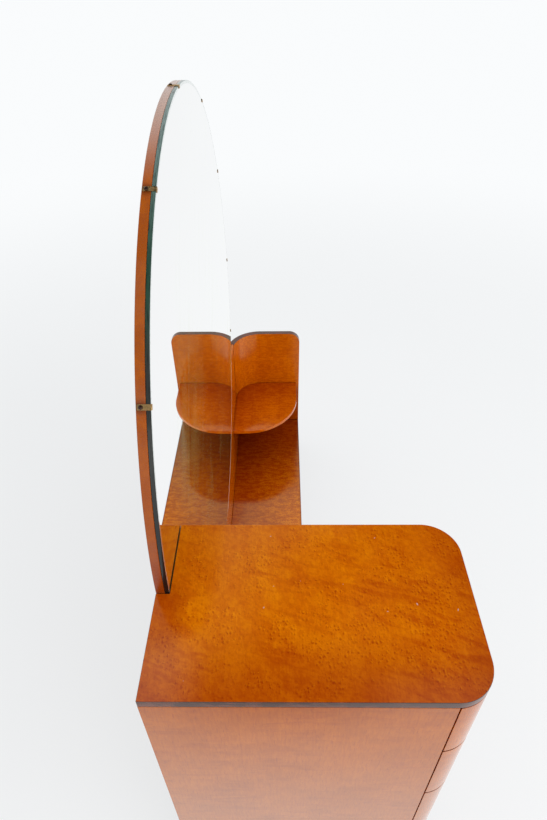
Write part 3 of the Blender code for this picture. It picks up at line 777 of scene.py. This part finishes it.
# %% [markdown]
# ## Cutting boards
#
# A board is an outline with a thickness. A plain extrusion has razor edges that no light catches, and real
# edges are eased with a stroke of sandpaper. So each board is extruded in bmesh, and then every sharp edge
# gets a small round. Weighted normals keep the wide faces flat while the rounds stay smooth.

# %% Outlines and edges
SHARP = math.radians(30)
ARC_STEPS = 24


def steps_to(start, end, count):
    """Even steps after a start, up to and with an end."""
    return [start + (end - start) * i / count for i in range(1, count + 1)]


def arc(centre, radius, start, end, steps=ARC_STEPS):
    """Points on a circle between two angles in degrees, both ends included."""
    angles = [math.radians(angle) for angle in [start] + steps_to(start, end, steps)]
    return [(centre[0] + radius * math.cos(a), centre[1] + radius * math.sin(a)) for a in angles]


def ease_edges(shape, ease, rounds=3, only=lambda edge: True):
    """Round off every edge, or only some, where two faces meet at a clear angle."""
    bmesh.ops.recalc_face_normals(shape, faces=shape.faces)
    sharp = [edge for edge in shape.edges if edge.calc_face_angle(0.0) > SHARP and only(edge)]
    bmesh.ops.bevel(
        shape, geom=sharp, offset=ease, segments=rounds, profile=0.5, affect="EDGES", clamp_overlap=True
    )


# %% From an outline to a board
def plain_mesh(name, holder):
    """The mesh of an object as its modifiers leave it. The object is used up."""
    graph = bpy.context.evaluated_depsgraph_get()
    made = bpy.data.meshes.new_from_object(holder.evaluated_get(graph))
    made.name = name
    holder.modifiers.clear()
    bpy.data.objects.remove(holder)
    return made


def settled_mesh(name, shape):
    """A bmesh as a plain mesh whose wide faces set the shading."""
    holder = add_object(name + "_draft", drawn_mesh(name + "_draft", shape))
    holder.data.shade_smooth()
    holder.modifiers.new("flat_faces", "WEIGHTED_NORMAL").mode = "FACE_AREA"
    return plain_mesh(name, holder)


def board_shape(outline, low, high, through="Z"):
    """A board cut to an outline, between two places along the axis through it."""
    shape = bmesh.new()
    lift = (lambda a, b: (a, b, low)) if through == "Z" else (lambda a, b: (a, low, b))
    face = shape.faces.new([shape.verts.new(lift(a, b)) for a, b in outline])
    moved = bmesh.ops.extrude_face_region(shape, geom=[face])["geom"]
    step = (0.0, 0.0, high - low) if through == "Z" else (0.0, high - low, 0.0)
    bmesh.ops.translate(shape, verts=[v for v in moved if isinstance(v, bmesh.types.BMVert)], vec=step)
    return shape


def board_mesh(name, outline, low, high, ease, through="Z"):
    """A finished board with eased edges."""
    shape = board_shape(outline, low, high, through)
    ease_edges(shape, ease)
    return settled_mesh(name, shape)


# %% Pieces on the frame
def add_piece(name, mesh, finishes, body, slot, *nodes):
    """A finished piece: its finishes, the body that it rides on, and the nodes that it stands for."""
    for material in finishes:
        mesh.materials.append(material)
    piece = add_object(name, mesh)
    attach(piece, body)
    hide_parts(*nodes)


def finish_faces(mesh, *rules):
    """Give each face the finish after the first, in order, whose rule its normal and middle pass."""
    for face in mesh.polygons:
        passed = [number for number, rule in enumerate(rules, start=1) if rule(face.normal, face.center)]
        face.material_index = passed[0] if passed else 0


# %% [markdown]
# ## The cabinet top
#
# The top is one board with two round front corners, and a notch at the back where the mirror stands. The
# notch could be cut with a Boolean, but the glass crosses the board almost upright, so a step in the outline
# gives the same shape with cleaner faces. The rim is stained black, and the face keeps its figure.

# %% Cabinet top
TOP_CORNER = 0.050
EASE_TOP = 0.0009
GAP, NOTCH_GAP = 0.0003, 0.0006


def top_outline():
    depth = top_low.z - mirror_centre.z
    notch_x = mirror_centre.x - math.sqrt(mirror_radius ** 2 - depth ** 2) - GAP
    notch_y = glass_low.y - NOTCH_GAP
    front = top_low.y + TOP_CORNER
    outline = [(top_high.x, notch_y), (notch_x, notch_y), (notch_x, top_high.y), (top_low.x, top_high.y)]
    outline += arc((top_low.x + TOP_CORNER, front), TOP_CORNER, 180, 270)
    return outline + arc((top_high.x - TOP_CORNER, front), TOP_CORNER, 270, 360)


top_mesh = board_mesh("cabinet_top_board", top_outline(), top_low.z, top_high.z, EASE_TOP)
finish_faces(
    top_mesh,
    lambda normal, middle: normal.z < -0.98,
    lambda normal, middle: normal.y > 0.5 and middle.y < top_high.y - 0.002,
    lambda normal, middle: normal.z < 0.75,
)
top_finishes = (burr_veneer, cross_timber, rim_wood, edge_black)
add_piece("cabinet_top_board", top_mesh, top_finishes, "table", "burr_veneer", "cabinet_top")
print("cabinet top:", len(top_mesh.polygons), "faces")

# %% [markdown]
# ## Sides, dust boards and plinth
#
# These boards are straight, and an extrusion would only repeat what the frame holds, so each is a copy of the
# frame's own mesh. Its loose triangles are merged into whole faces first, because an eased edge needs one
# face on each side of it.

# %% Straight boards
WELD = 0.00001
EASE_BOARD = 0.0003
STRAIGHT_BOARDS = {
    "cabinet_outer_side": (side_veneer, "straight_veneer"),
    "cabinet_inner_side": (side_veneer, "straight_veneer"),
    "cabinet_back": (cross_timber, "drawer_timber"),
    "cabinet_bottom": (drawer_timber, "drawer_timber"),
}
for node in frame["nodes"]:
    if node.startswith("dust_board"):
        STRAIGHT_BOARDS[node] = (drawer_timber, "drawer_timber")
    if node.startswith("plinth"):
        STRAIGHT_BOARDS[node] = (plinth_black, "ebonised_wood")


def eased_copy(node):
    """The frame's own board with its triangles merged into faces and its edges eased."""
    shape = bmesh.new()
    shape.from_mesh(frame["nodes"][node].data)
    bmesh.ops.remove_doubles(shape, verts=shape.verts, dist=WELD)
    bmesh.ops.dissolve_limit(shape, angle_limit=math.radians(1), verts=shape.verts, edges=shape.edges)
    ease_edges(shape, EASE_BOARD)
    return settled_mesh(node, shape)


for node, (wood, slot) in STRAIGHT_BOARDS.items():
    add_piece(node + "_board", eased_copy(node), (wood,), "table", slot, node)
print("straight boards:", len(STRAIGHT_BOARDS))

# %% [markdown]
# ## Platform and shelf
#
# Both boards fit into the rounded corner of the bent end. The shelf's free corner is one large round with a
# crisp edge: seen at a slant it mirrors the white room as a thin line, and seen square on it stays dark.

# %% Platform and shelf
COVE, SHELF_CORNER = 0.080, 0.158
EASE_PLATFORM, EASE_SHELF = 0.0012, 0.0005

cove_centre = (platform_high.x + GAP - COVE, glass_low.y - COVE)


def nook_board(name, low, high, corner, ease):
    """A board in the nook, with its free front corner rounded."""
    outline = arc(cove_centre, COVE - GAP, 0, 90) + [(low.x, high.y)]
    free = arc((low.x + corner, low.y + corner), corner, 180, 270, 2 * ARC_STEPS)
    outline += free if corner else [(low.x, low.y)]
    return board_mesh(name, outline + [(high.x, low.y)], low.z, high.z, ease)


platform_mesh = nook_board("platform_board", platform_low, platform_high, 0.0, EASE_PLATFORM)
finish_faces(platform_mesh, lambda normal, middle: normal.y < -0.6)
platform_finishes = (platform_veneer, edge_black)
add_piece("platform_board", platform_mesh, platform_finishes, "table", "straight_veneer", "platform")
shelf_mesh = nook_board("corner_shelf", shelf_low, shelf_high, SHELF_CORNER, EASE_SHELF)
add_piece("corner_shelf", shelf_mesh, (shelf_veneer,), "table", "straight_veneer", "shelf")
print("platform and shelf:", len(platform_mesh.polygons), "and", len(shelf_mesh.polygons), "faces")

# %% [markdown]
# ## The bent end
#
# The far end is one sheet of plywood bent round a former: a flat wall that turns through the inside corner.
# It is made the same way here. A flat sheet is laid out in columns by their length along the bend, its front
# top corner is rounded while it is still flat, and each column is then set on the bend, as a ring that goes
# up the inner face and down the outer one. Past the bend the sheet is feathered: its outer face lies on the
# back facing, and its inner face runs out into it, so that no step shows in the corner. The outer face has a
# finish of its own, because the inner one has painted shade below the shelf.

# %% The flat sheet and its bend
END_CORNER, CORNER_COLUMNS = 0.033, 14
FLAT_COLUMNS = 6
BEND_SWEEP, BEND_COLUMNS = 74.0, 28
FEATHER_SWEEP, FEATHER_COLUMNS = 83.0, 6

flat_end = cove_centre[1] - end_low.y


def sheet_columns():
    """Each column of the flat sheet: its length along the sheet, and its height."""
    columns = arc((END_CORNER, end_high.z - END_CORNER), END_CORNER, 180, 90, CORNER_COLUMNS)
    lengths = steps_to(END_CORNER, flat_end, FLAT_COLUMNS)
    angles = steps_to(0.0, BEND_SWEEP, BEND_COLUMNS) + steps_to(BEND_SWEEP, FEATHER_SWEEP, FEATHER_COLUMNS)
    lengths += [flat_end + COVE * math.radians(angle) for angle in angles]
    return columns + [(length, end_high.z) for length in lengths]


def on_bend(length, outward):
    """The place in plan of a point on the sheet, moved outwards from its inner face."""
    if length <= flat_end:
        return cove_centre[0] + COVE + outward, end_low.y + length
    angle = (length - flat_end) / COVE
    if outward and angle > math.radians(BEND_SWEEP) + WELD:
        return cove_centre[0] + COVE * math.cos(angle), glass_low.y - GAP
    reach = COVE + outward
    return cove_centre[0] + reach * math.cos(angle), cove_centre[1] + reach * math.sin(angle)


print("sheet:", len(sheet_columns()), "columns")

# %% Bent end
SHEET_ROWS = 10
EASE_SHEET = 0.0016

end_thickness = end_high.x - platform_high.x - GAP


def skin_rings(shape, rings):
    """Faces from each ring of corners to the next. A corner that comes twice in a face is left out."""
    for a, b in zip(rings, rings[1:]):
        for i in range(len(a)):
            k = (i + 1) % len(a)
            shape.faces.new(list(dict.fromkeys((a[i], b[i], b[k], a[k]))))


def bent_sheet():
    shape = bmesh.new()
    rings = []
    for length, height in sheet_columns():
        rows = [end_low.z] + steps_to(end_low.z, height, SHEET_ROWS)
        inner = [shape.verts.new((*on_bend(length, 0.0), z)) for z in rows]
        outer = [shape.verts.new((*on_bend(length, end_thickness), z)) for z in reversed(rows)]
        rings.append(inner + outer)
    skin_rings(shape, rings)
    for ring in (rings[0], rings[-1]):
        for j in range(SHEET_ROWS):
            shape.faces.new((ring[j], ring[j + 1], ring[-j - 2], ring[-j - 1]))
    thick = cove_centre[0] + COVE * math.cos(math.radians(BEND_SWEEP)) - WELD
    ease_edges(shape, EASE_SHEET, only=lambda edge: all(vertex.co.x > thick for vertex in edge.verts))
    return settled_mesh("bent_end", shape)


end_mesh = bent_sheet()
finish_faces(
    end_mesh,
    lambda normal, middle: normal.z > 0.35 or (normal.y < -0.3 and middle.y < end_low.y + END_CORNER),
    lambda normal, middle: normal.x > 0.1 or normal.y > 0.3,
)
end_finishes = (nook_veneer, end_edge, end_veneer)
add_piece("bent_end", end_mesh, end_finishes, "table", "straight_veneer", "end_panel")
print("bent end:", len(end_mesh.polygons), "faces")

# %% [markdown]
# ## Back board, facing and glass
#
# The back board is round above and square below. Its outline runs up one side, round the rim and down the
# other, and the places where the round begins and ends follow from the circle. The facing fills the space
# beside the lower part of the glass, level with its face, and the edge along the glass is chamfered: a thin
# pale line, partly bare wood and partly a painted highlight. The glass is turned like a plate: a flat face
# with its margin, a small slope at the rim, the ground edge, and the back.

# %% Back board and facing
RIM_STEPS = 220
EASE_RIM = 0.0008
EASE_FACING = 0.0003
RIM_CHAMFER = 0.0036

rim_centre = (mirror_centre.x, mirror_centre.z)
square_top = facing_high.z
square_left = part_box("cabinet_inner_side")[0].x
facing_radius = mirror_radius + GAP


def rim_outline(left, low, high, radius, turn, steps):
    """A board with a square foot: up its right side and along the rim to its left side."""
    start = math.degrees(math.asin((square_top - mirror_centre.z) / radius))
    end = turn - math.degrees(math.acos((left - mirror_centre.x) / radius))
    foot = [(left, low.z), (high.x, low.z), (high.x, square_top)]
    return foot + arc(rim_centre, radius, start, end, steps)


back_outline = rim_outline(square_left, board_low, board_high, mirror_radius, 360, RIM_STEPS)
back_mesh = board_mesh("mirror_back_board", back_outline, board_low.y, board_high.y, EASE_RIM, "Y")
finish_faces(back_mesh, lambda normal, middle: normal.y > 0.9)
add_piece("mirror_back_board", back_mesh, (rim_wood, back_wood), "table", "mirror_board", "back_board")

facing_outline = rim_outline(facing_low.x, facing_low, facing_high, facing_radius, 0, RIM_STEPS // 3)
facing_shape = board_shape(facing_outline, facing_low.y, facing_high.y, "Y")
bmesh.ops.recalc_face_normals(facing_shape, faces=facing_shape.faces)


def on_rim(vertex):
    """Whether a corner of the facing lies on its curved edge, at the face."""
    reach = math.hypot(vertex.co.x - rim_centre[0], vertex.co.z - rim_centre[1])
    return abs(reach - facing_radius) < WELD and abs(vertex.co.y - facing_low.y) < WELD


rim_edges = [edge for edge in facing_shape.edges if all(on_rim(vertex) for vertex in edge.verts)]
bmesh.ops.bevel(facing_shape, geom=rim_edges, offset=RIM_CHAMFER, segments=1, affect="EDGES")
ease_edges(facing_shape, EASE_FACING)
facing_mesh = settled_mesh("back_facing_panel", facing_shape)
finish_faces(facing_mesh, lambda normal, middle: -0.85 < normal.y < -0.5 and abs(normal.x) > 0.1)
facing_finishes = (facing_veneer, bare_edge)
add_piece("back_facing_panel", facing_mesh, facing_finishes, "table", "straight_veneer", "back_facing")
print("back board:", len(back_mesh.polygons), "faces; facing:", len(facing_mesh.polygons), "faces")

# %% Mirror glass
GLASS_STEPS = 288
ARRIS = 0.0005
MARGIN = 0.0045


def turned_mesh(name, profile, steps):
    """A piece turned about Z from its half outline, given as radius and height from the top down."""
    shape = bmesh.new()
    turns = [math.tau * i / steps for i in range(steps)]
    rings = []
    for radius, height in profile:
        if radius == 0.0:
            rings.append([shape.verts.new((0.0, 0.0, height))] * steps)
            continue
        rings.append([shape.verts.new((radius * math.cos(a), radius * math.sin(a), height)) for a in turns])
    skin_rings(shape, rings)
    bmesh.ops.recalc_face_normals(shape, faces=shape.faces)
    return settled_mesh(name, shape)


def glass_profile():
    """Half outline of the glass, with height 0 at its face and growing to the front."""
    thick = glass_high.y - glass_low.y
    slope = [(mirror_radius - ARRIS, 0.0), (mirror_radius, -ARRIS)]
    back = [(mirror_radius, ARRIS - thick), (mirror_radius - ARRIS, -thick), (0.0, -thick)]
    return [(0.0, 0.0), (mirror_radius - MARGIN, 0.0)] + slope + back


def in_margin(place):
    """Whether a place on the glass lies outside the silver."""
    return math.hypot(place.x - mirror_centre.x, place.z - mirror_centre.z) > mirror_radius - MARGIN


glass_mesh = turned_mesh("round_mirror", glass_profile(), GLASS_STEPS)
facing_front = Matrix.Translation((mirror_centre.x, glass_low.y, mirror_centre.z))
glass_mesh.transform(facing_front @ Matrix.Rotation(math.radians(90), 4, "X"))
finish_faces(
    glass_mesh,
    lambda normal, middle: abs(normal.y) < 0.9,
    lambda normal, middle: normal.y < -0.9 and in_margin(middle),
)
glass_finishes = (mirror_silver, ground_edge, margin_glass)
add_piece("round_mirror", glass_mesh, glass_finishes, "table", "silvered_glass", "mirror_glass")
print("mirror glass:", len(glass_mesh.polygons), "faces")

# %% [markdown]
# ## What is fixed outwards: clips, screws and knobs
#
# Seven clips hold the glass, each with a screw into the rim, and each drawer has a knob. All of them stand
# outwards from something: from the middle of the mirror, or from the face of a drawer. They could be copied
# in a loop, but one Geometry Nodes tree does it for all three. It sets a piece on every point of a small
# mesh, turns the piece's Z axis away from a centre, spins it by a random angle, and makes the copies real.
# The result is then turned into a plain mesh, one for each body.

# %% A tree that sets pieces outwards
SPIN_SEED = 11
GIVEN_SOCKETS = {
    "Points": "NodeSocketGeometry",
    "Piece": "NodeSocketObject",
    "Centre": "NodeSocketVector",
    "Most Spin": "NodeSocketFloat",
    "Seed": "NodeSocketInt",
    "Finish": "NodeSocketMaterial",
}


def outward_tree():
    tree = bpy.data.node_groups.new("set_outwards", "GeometryNodeTree")
    tree.is_modifier = True
    for name, kind in GIVEN_SOCKETS.items():
        tree.interface.new_socket(name, in_out="INPUT", socket_type=kind)
    tree.interface.new_socket("Pieces", in_out="OUTPUT", socket_type="NodeSocketGeometry")
    given = add_node(tree, "NodeGroupInput", {})
    place = given.to("GeometryNodeInputPosition", {})
    away = place.to("ShaderNodeVectorMath", {0: place, 1: given["Centre"]}, operation="SUBTRACT")
    aimed = away.to("FunctionNodeAlignRotationToVector", {"Vector": away}, axis="Z")
    random = given.to("FunctionNodeRandomValue", {"Seed": given["Seed"]}, 1, data_type="FLOAT")
    about = random.to("ShaderNodeCombineXYZ", {"Z": random * given["Most Spin"]})
    local = about.to("FunctionNodeEulerToRotation", {0: about})
    turned = aimed.to("FunctionNodeRotateRotation", {0: aimed, 1: local}, rotation_space="LOCAL")
    inputs = {"Object": given["Piece"]}
    shape = given.to("GeometryNodeObjectInfo", inputs, "Geometry", transform_space="ORIGINAL")
    inputs = {"Points": given["Points"], "Instance": shape, "Rotation": turned}
    copies = shape.to("GeometryNodeInstanceOnPoints", inputs)
    real = copies.to("GeometryNodeRealizeInstances", {"Geometry": copies})
    painted = real.to("GeometryNodeSetMaterial", {"Geometry": real, "Material": given["Finish"]})
    fill(tree.nodes.new("NodeGroupOutput"), {"Pieces": painted})
    return tree


set_outwards = outward_tree()


def set_pieces(name, prototype, points, centre, material, most_spin=0.0):
    """A plain mesh of copies of a prototype, standing outwards from a centre on the given points."""
    mesh = bpy.data.meshes.new(name + "_points")
    mesh.from_pydata(points, [], [])
    holder = add_object(name + "_points", mesh)
    shape = bpy.data.objects.new(name + "_shape", prototype)
    modifier = holder.modifiers.new("set_outwards", "NODES")
    modifier.node_group = set_outwards
    values = {"Piece": shape, "Centre": centre, "Most Spin": most_spin, "Seed": SPIN_SEED, "Finish": material}
    for socket in set_outwards.interface.items_tree:
        if socket.in_out == "INPUT" and socket.name in values:
            modifier[socket.identifier] = values[socket.name]
    made = plain_mesh(name, holder)
    bpy.data.objects.remove(shape)
    return made


print("set outwards:", len(set_outwards.nodes), "nodes")

# %% [markdown]
# ## Clips and their screws
#
# A clip is a plain strap of brass: it lies on the rim, with a screw near its end, and its lip is bent down
# over the glass. It is laid out as stations along the strap, each with a place, a direction and a width. The
# screw has a domed head with a slot, which a Boolean cuts once in the prototype.

# %% Clip
CLIP_THICKNESS = 0.0009
CLIP_END = 0.0044
CLIP_HALF = 0.0036
CLIP_CORNER = 0.0010
CLIP_LIP = 0.0034
LIP_TAPER = ((0.55, 1.0), (0.85, 0.96), (0.96, 0.88), (1.0, 0.74))
CLIP_BEND = 0.0012
EASE_CLIP = 0.00022


def clip_stations():
    """Along the strap: depth behind the glass's face, height over the rim, direction out and half width."""
    middle = GAP + CLIP_THICKNESS / 2
    end = screw_y - glass_low.y + CLIP_END
    corner = arc((end - CLIP_CORNER, CLIP_HALF - CLIP_CORNER), CLIP_CORNER, 0, 90, 4)
    stations = [(depth, middle, (0.0, 1.0), wide) for depth, wide in corner]
    bend_start = CLIP_BEND - middle
    stations.append((bend_start + 0.001, middle, (0.0, 1.0), CLIP_HALF))
    for depth, height in arc((bend_start, middle - CLIP_BEND), CLIP_BEND, 90, 180, 5):
        out = Vector((depth - bend_start, height - middle + CLIP_BEND)).normalized()
        stations.append((depth, height, tuple(out), CLIP_HALF))
    for share, wide in LIP_TAPER:
        stations.append((-middle, -CLIP_LIP * share, (-1.0, 0.0), CLIP_HALF * wide))
    return stations


def clip_mesh():
    """The strap swept along its stations."""
    shape = bmesh.new()
    rings = []
    for depth, height, (out_y, out_z), wide in clip_stations():
        ring = []
        for side, lift in ((-1, 1), (1, 1), (1, -1), (-1, -1)):
            move = lift * CLIP_THICKNESS / 2
            ring.append(shape.verts.new((side * wide, depth + move * out_y, height + move * out_z)))
        rings.append(ring)
    skin_rings(shape, rings)
    shape.faces.new(rings[0])
    shape.faces.new(rings[-1])
    ease_edges(shape, EASE_CLIP, 2)
    return settled_mesh("clip_shape", shape)


clip_shape = clip_mesh()
print("clip:", len(clip_shape.polygons), "faces")

# %% Screw
SCREW_HEAD = 0.0028
SCREW_DOME = 0.0016
SCREW_SHANK = 0.0013
SCREW_LENGTH, SCREW_POINT = 0.012, 0.003
SCREW_STEPS = 20
SLOT_WIDTH, SLOT_DEPTH = 0.0007, 0.0008


def slotted_screw():
    """A round-headed screw, turned, with a slot cut across its head."""
    base = CLIP_THICKNESS + 2 * GAP
    dome = [(SCREW_HEAD * x, base + SCREW_DOME * z) for x, z in arc((0, 0), 1.0, 90, 0, 7)]
    dome[0] = (0.0, base + SCREW_DOME)
    shank = [(SCREW_SHANK, base), (SCREW_SHANK, SCREW_POINT - SCREW_LENGTH), (0.0, -SCREW_LENGTH)]
    screw = add_object("screw_draft", turned_mesh("screw_draft", dome + shank, SCREW_STEPS))
    shape = bmesh.new()
    bmesh.ops.create_cube(shape, size=1.0)
    bmesh.ops.scale(shape, verts=shape.verts, vec=(3 * SCREW_HEAD, SLOT_WIDTH, 2 * SLOT_DEPTH))
    bmesh.ops.translate(shape, verts=shape.verts, vec=(0.0, 0.0, base + SCREW_DOME))
    cutter = add_object("slot_cutter", drawn_mesh("slot_cutter", shape))
    screw.modifiers.new("slot", "BOOLEAN").object = cutter
    made = plain_mesh("screw_shape", screw)
    bpy.data.objects.remove(cutter)
    made.set_sharp_from_angle(angle=SHARP)
    return made


screw_shape = slotted_screw()
print("screw:", len(screw_shape.polygons), "faces")

# %% Clips and screws on the rim
clip_nodes = sorted(name for name in frame["nodes"] if name.startswith("clip_") and "screw" not in name)
clip_points = [rim_point(node, glass_low.y) for node in screw_nodes]
clip_centre = (mirror_centre.x, glass_low.y, mirror_centre.z)
screw_centre = (mirror_centre.x, screw_y, mirror_centre.z)
clips = set_pieces("rim_clips", clip_shape, clip_points, clip_centre, clip_brass)
add_piece("rim_clips", clips, (), "table", "aged_brass", *clip_nodes)
screws = set_pieces("rim_screws", screw_shape, screw_points, screw_centre, screw_brass, math.pi)
add_piece("rim_screws", screws, (), "table", "aged_brass", *screw_nodes)
print("clips:", len(clip_nodes), "screws:", len(screw_nodes))

# %% [markdown]
# ## Drawers
#
# Each drawer front wraps round both front corners of the cabinet, so its plan has two arcs, with a pocket
# behind them for the box. Its level edges are rounded and black, and the ends of its wrap stay crisp. The
# drawers grow from the top one down, and everything follows from the frame's boxes, so one function makes
# all four. Every piece rides on its own drawer.

# %% Drawer front
DRAWER_TRIM = 0.0045
FRONT_THICKNESS = 0.020
EASE_FRONT, EASE_WRAP = 0.0012, 0.0003


def front_outline(drawer):
    """Plan of a drawer front: two round corners, and the pocket between the ends of the wrap."""
    front, wrap = top_low.y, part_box(drawer + "_front")[1].y
    start = math.degrees(math.asin(DRAWER_TRIM / TOP_CORNER))
    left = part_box(drawer + "_left_side")[1].x
    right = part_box(drawer + "_right_side")[0].x
    outline = arc((top_low.x + TOP_CORNER, front + TOP_CORNER), TOP_CORNER, 180 + start, 270)
    outline += arc((top_high.x - TOP_CORNER, front + TOP_CORNER), TOP_CORNER, 270, 360 - start)
    pocket = front + FRONT_THICKNESS
    return outline + [(right, wrap), (right, pocket), (left, pocket), (left, wrap)]


def level(edge):
    """Whether an edge lies level."""
    return abs(edge.verts[0].co.z - edge.verts[1].co.z) < WELD


def upright(edge, least):
    """Whether an edge runs straight up, and further than given."""
    step = edge.verts[1].co - edge.verts[0].co
    return abs(step.x) + abs(step.y) < WELD and edge.calc_length() > least


def wrapped_front(drawer):
    """A drawer front with its level edges rounded and the ends of its wrap eased."""
    low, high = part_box(drawer + "_front")
    shape = board_shape(front_outline(drawer), low.z, high.z)
    ease_edges(shape, EASE_FRONT, only=level)
    ease_edges(shape, EASE_WRAP, 2, only=lambda edge: upright(edge, (high.z - low.z) / 2))
    return settled_mesh(drawer + "_wrapped_front", shape)


print("drawer front:", len(front_outline(DRAWERS[0])), "points in plan")

# %% Knob
KNOB_STEPS = 40
KNOB_HEAD, KNOB_HALF = 0.014, 0.0075
KNOB_NECK, KNOB_HOLLOW = 0.0065, 0.003
KNOB_FOOT, KNOB_FOOT_HEIGHT, KNOB_FOOT_EASE = 0.009, 0.0025, 0.0006
KNOB_TENON, KNOB_TENON_LENGTH = 0.005, 0.012
KNOB_OUT = 0.022


def knob_profile():
    """A turned knob from the middle of its head down to its tenon, with height 0 at the drawer's face."""
    middle = KNOB_OUT - KNOB_HALF
    head = [(KNOB_HEAD * x, middle + KNOB_HALF * z) for x, z in arc((0, 0), 1.0, 90, -62, 18)]
    head[0] = (0.0, KNOB_OUT)
    neck_centre = (KNOB_NECK + KNOB_HOLLOW, middle - KNOB_HALF + 0.0005)
    neck = arc(neck_centre, KNOB_HOLLOW, 150, 215, 6)
    shoulder = (KNOB_FOOT - KNOB_FOOT_EASE, KNOB_FOOT_HEIGHT)
    foot = [shoulder, (KNOB_FOOT, KNOB_FOOT_HEIGHT - KNOB_FOOT_EASE), (KNOB_FOOT, GAP)]
    tenon = [(KNOB_TENON, GAP), (KNOB_TENON, -KNOB_TENON_LENGTH), (0.0, -KNOB_TENON_LENGTH)]
    return head + neck + foot + tenon


print("knob:", len(knob_profile()), "points from top to tenon")


# %% Drawers
def make_drawer(drawer):
    front = wrapped_front(drawer)
    inside = top_low.y + FRONT_THICKNESS + GAP
    finish_faces(
        front,
        lambda normal, middle: abs(normal.z) > 0.3,
        lambda normal, middle: normal.y > 0.5 and middle.y < inside,
    )
    finishes = (side_veneer, edge_black, cross_timber)
    add_piece(drawer + "_wrapped_front", front, finishes, drawer, "straight_veneer", drawer + "_front")
    knob_low, knob_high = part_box(drawer + "_knob")
    middle = (knob_low + knob_high) / 2
    # The centre lies far behind the face, so that the knob points straight to the front.
    knob = set_pieces(
        drawer + "_turned_knob",
        turned_mesh(drawer + "_knob_shape", knob_profile(), KNOB_STEPS),
        [(middle.x, top_low.y, middle.z)],
        (middle.x, top_low.y + 1.0, middle.z),
        knob_black,
    )
    add_piece(drawer + "_turned_knob", knob, (), drawer, "ebonised_wood", drawer + "_knob")
    for part in ("left_side", "right_side", "back", "bottom"):
        node = drawer + "_" + part
        wood = cross_timber if part == "back" else drawer_timber
        add_piece(node + "_board", eased_copy(node), (wood,), drawer, "drawer_timber", node)


for drawer in DRAWERS:
    make_drawer(drawer)
print("drawers:", DRAWERS)
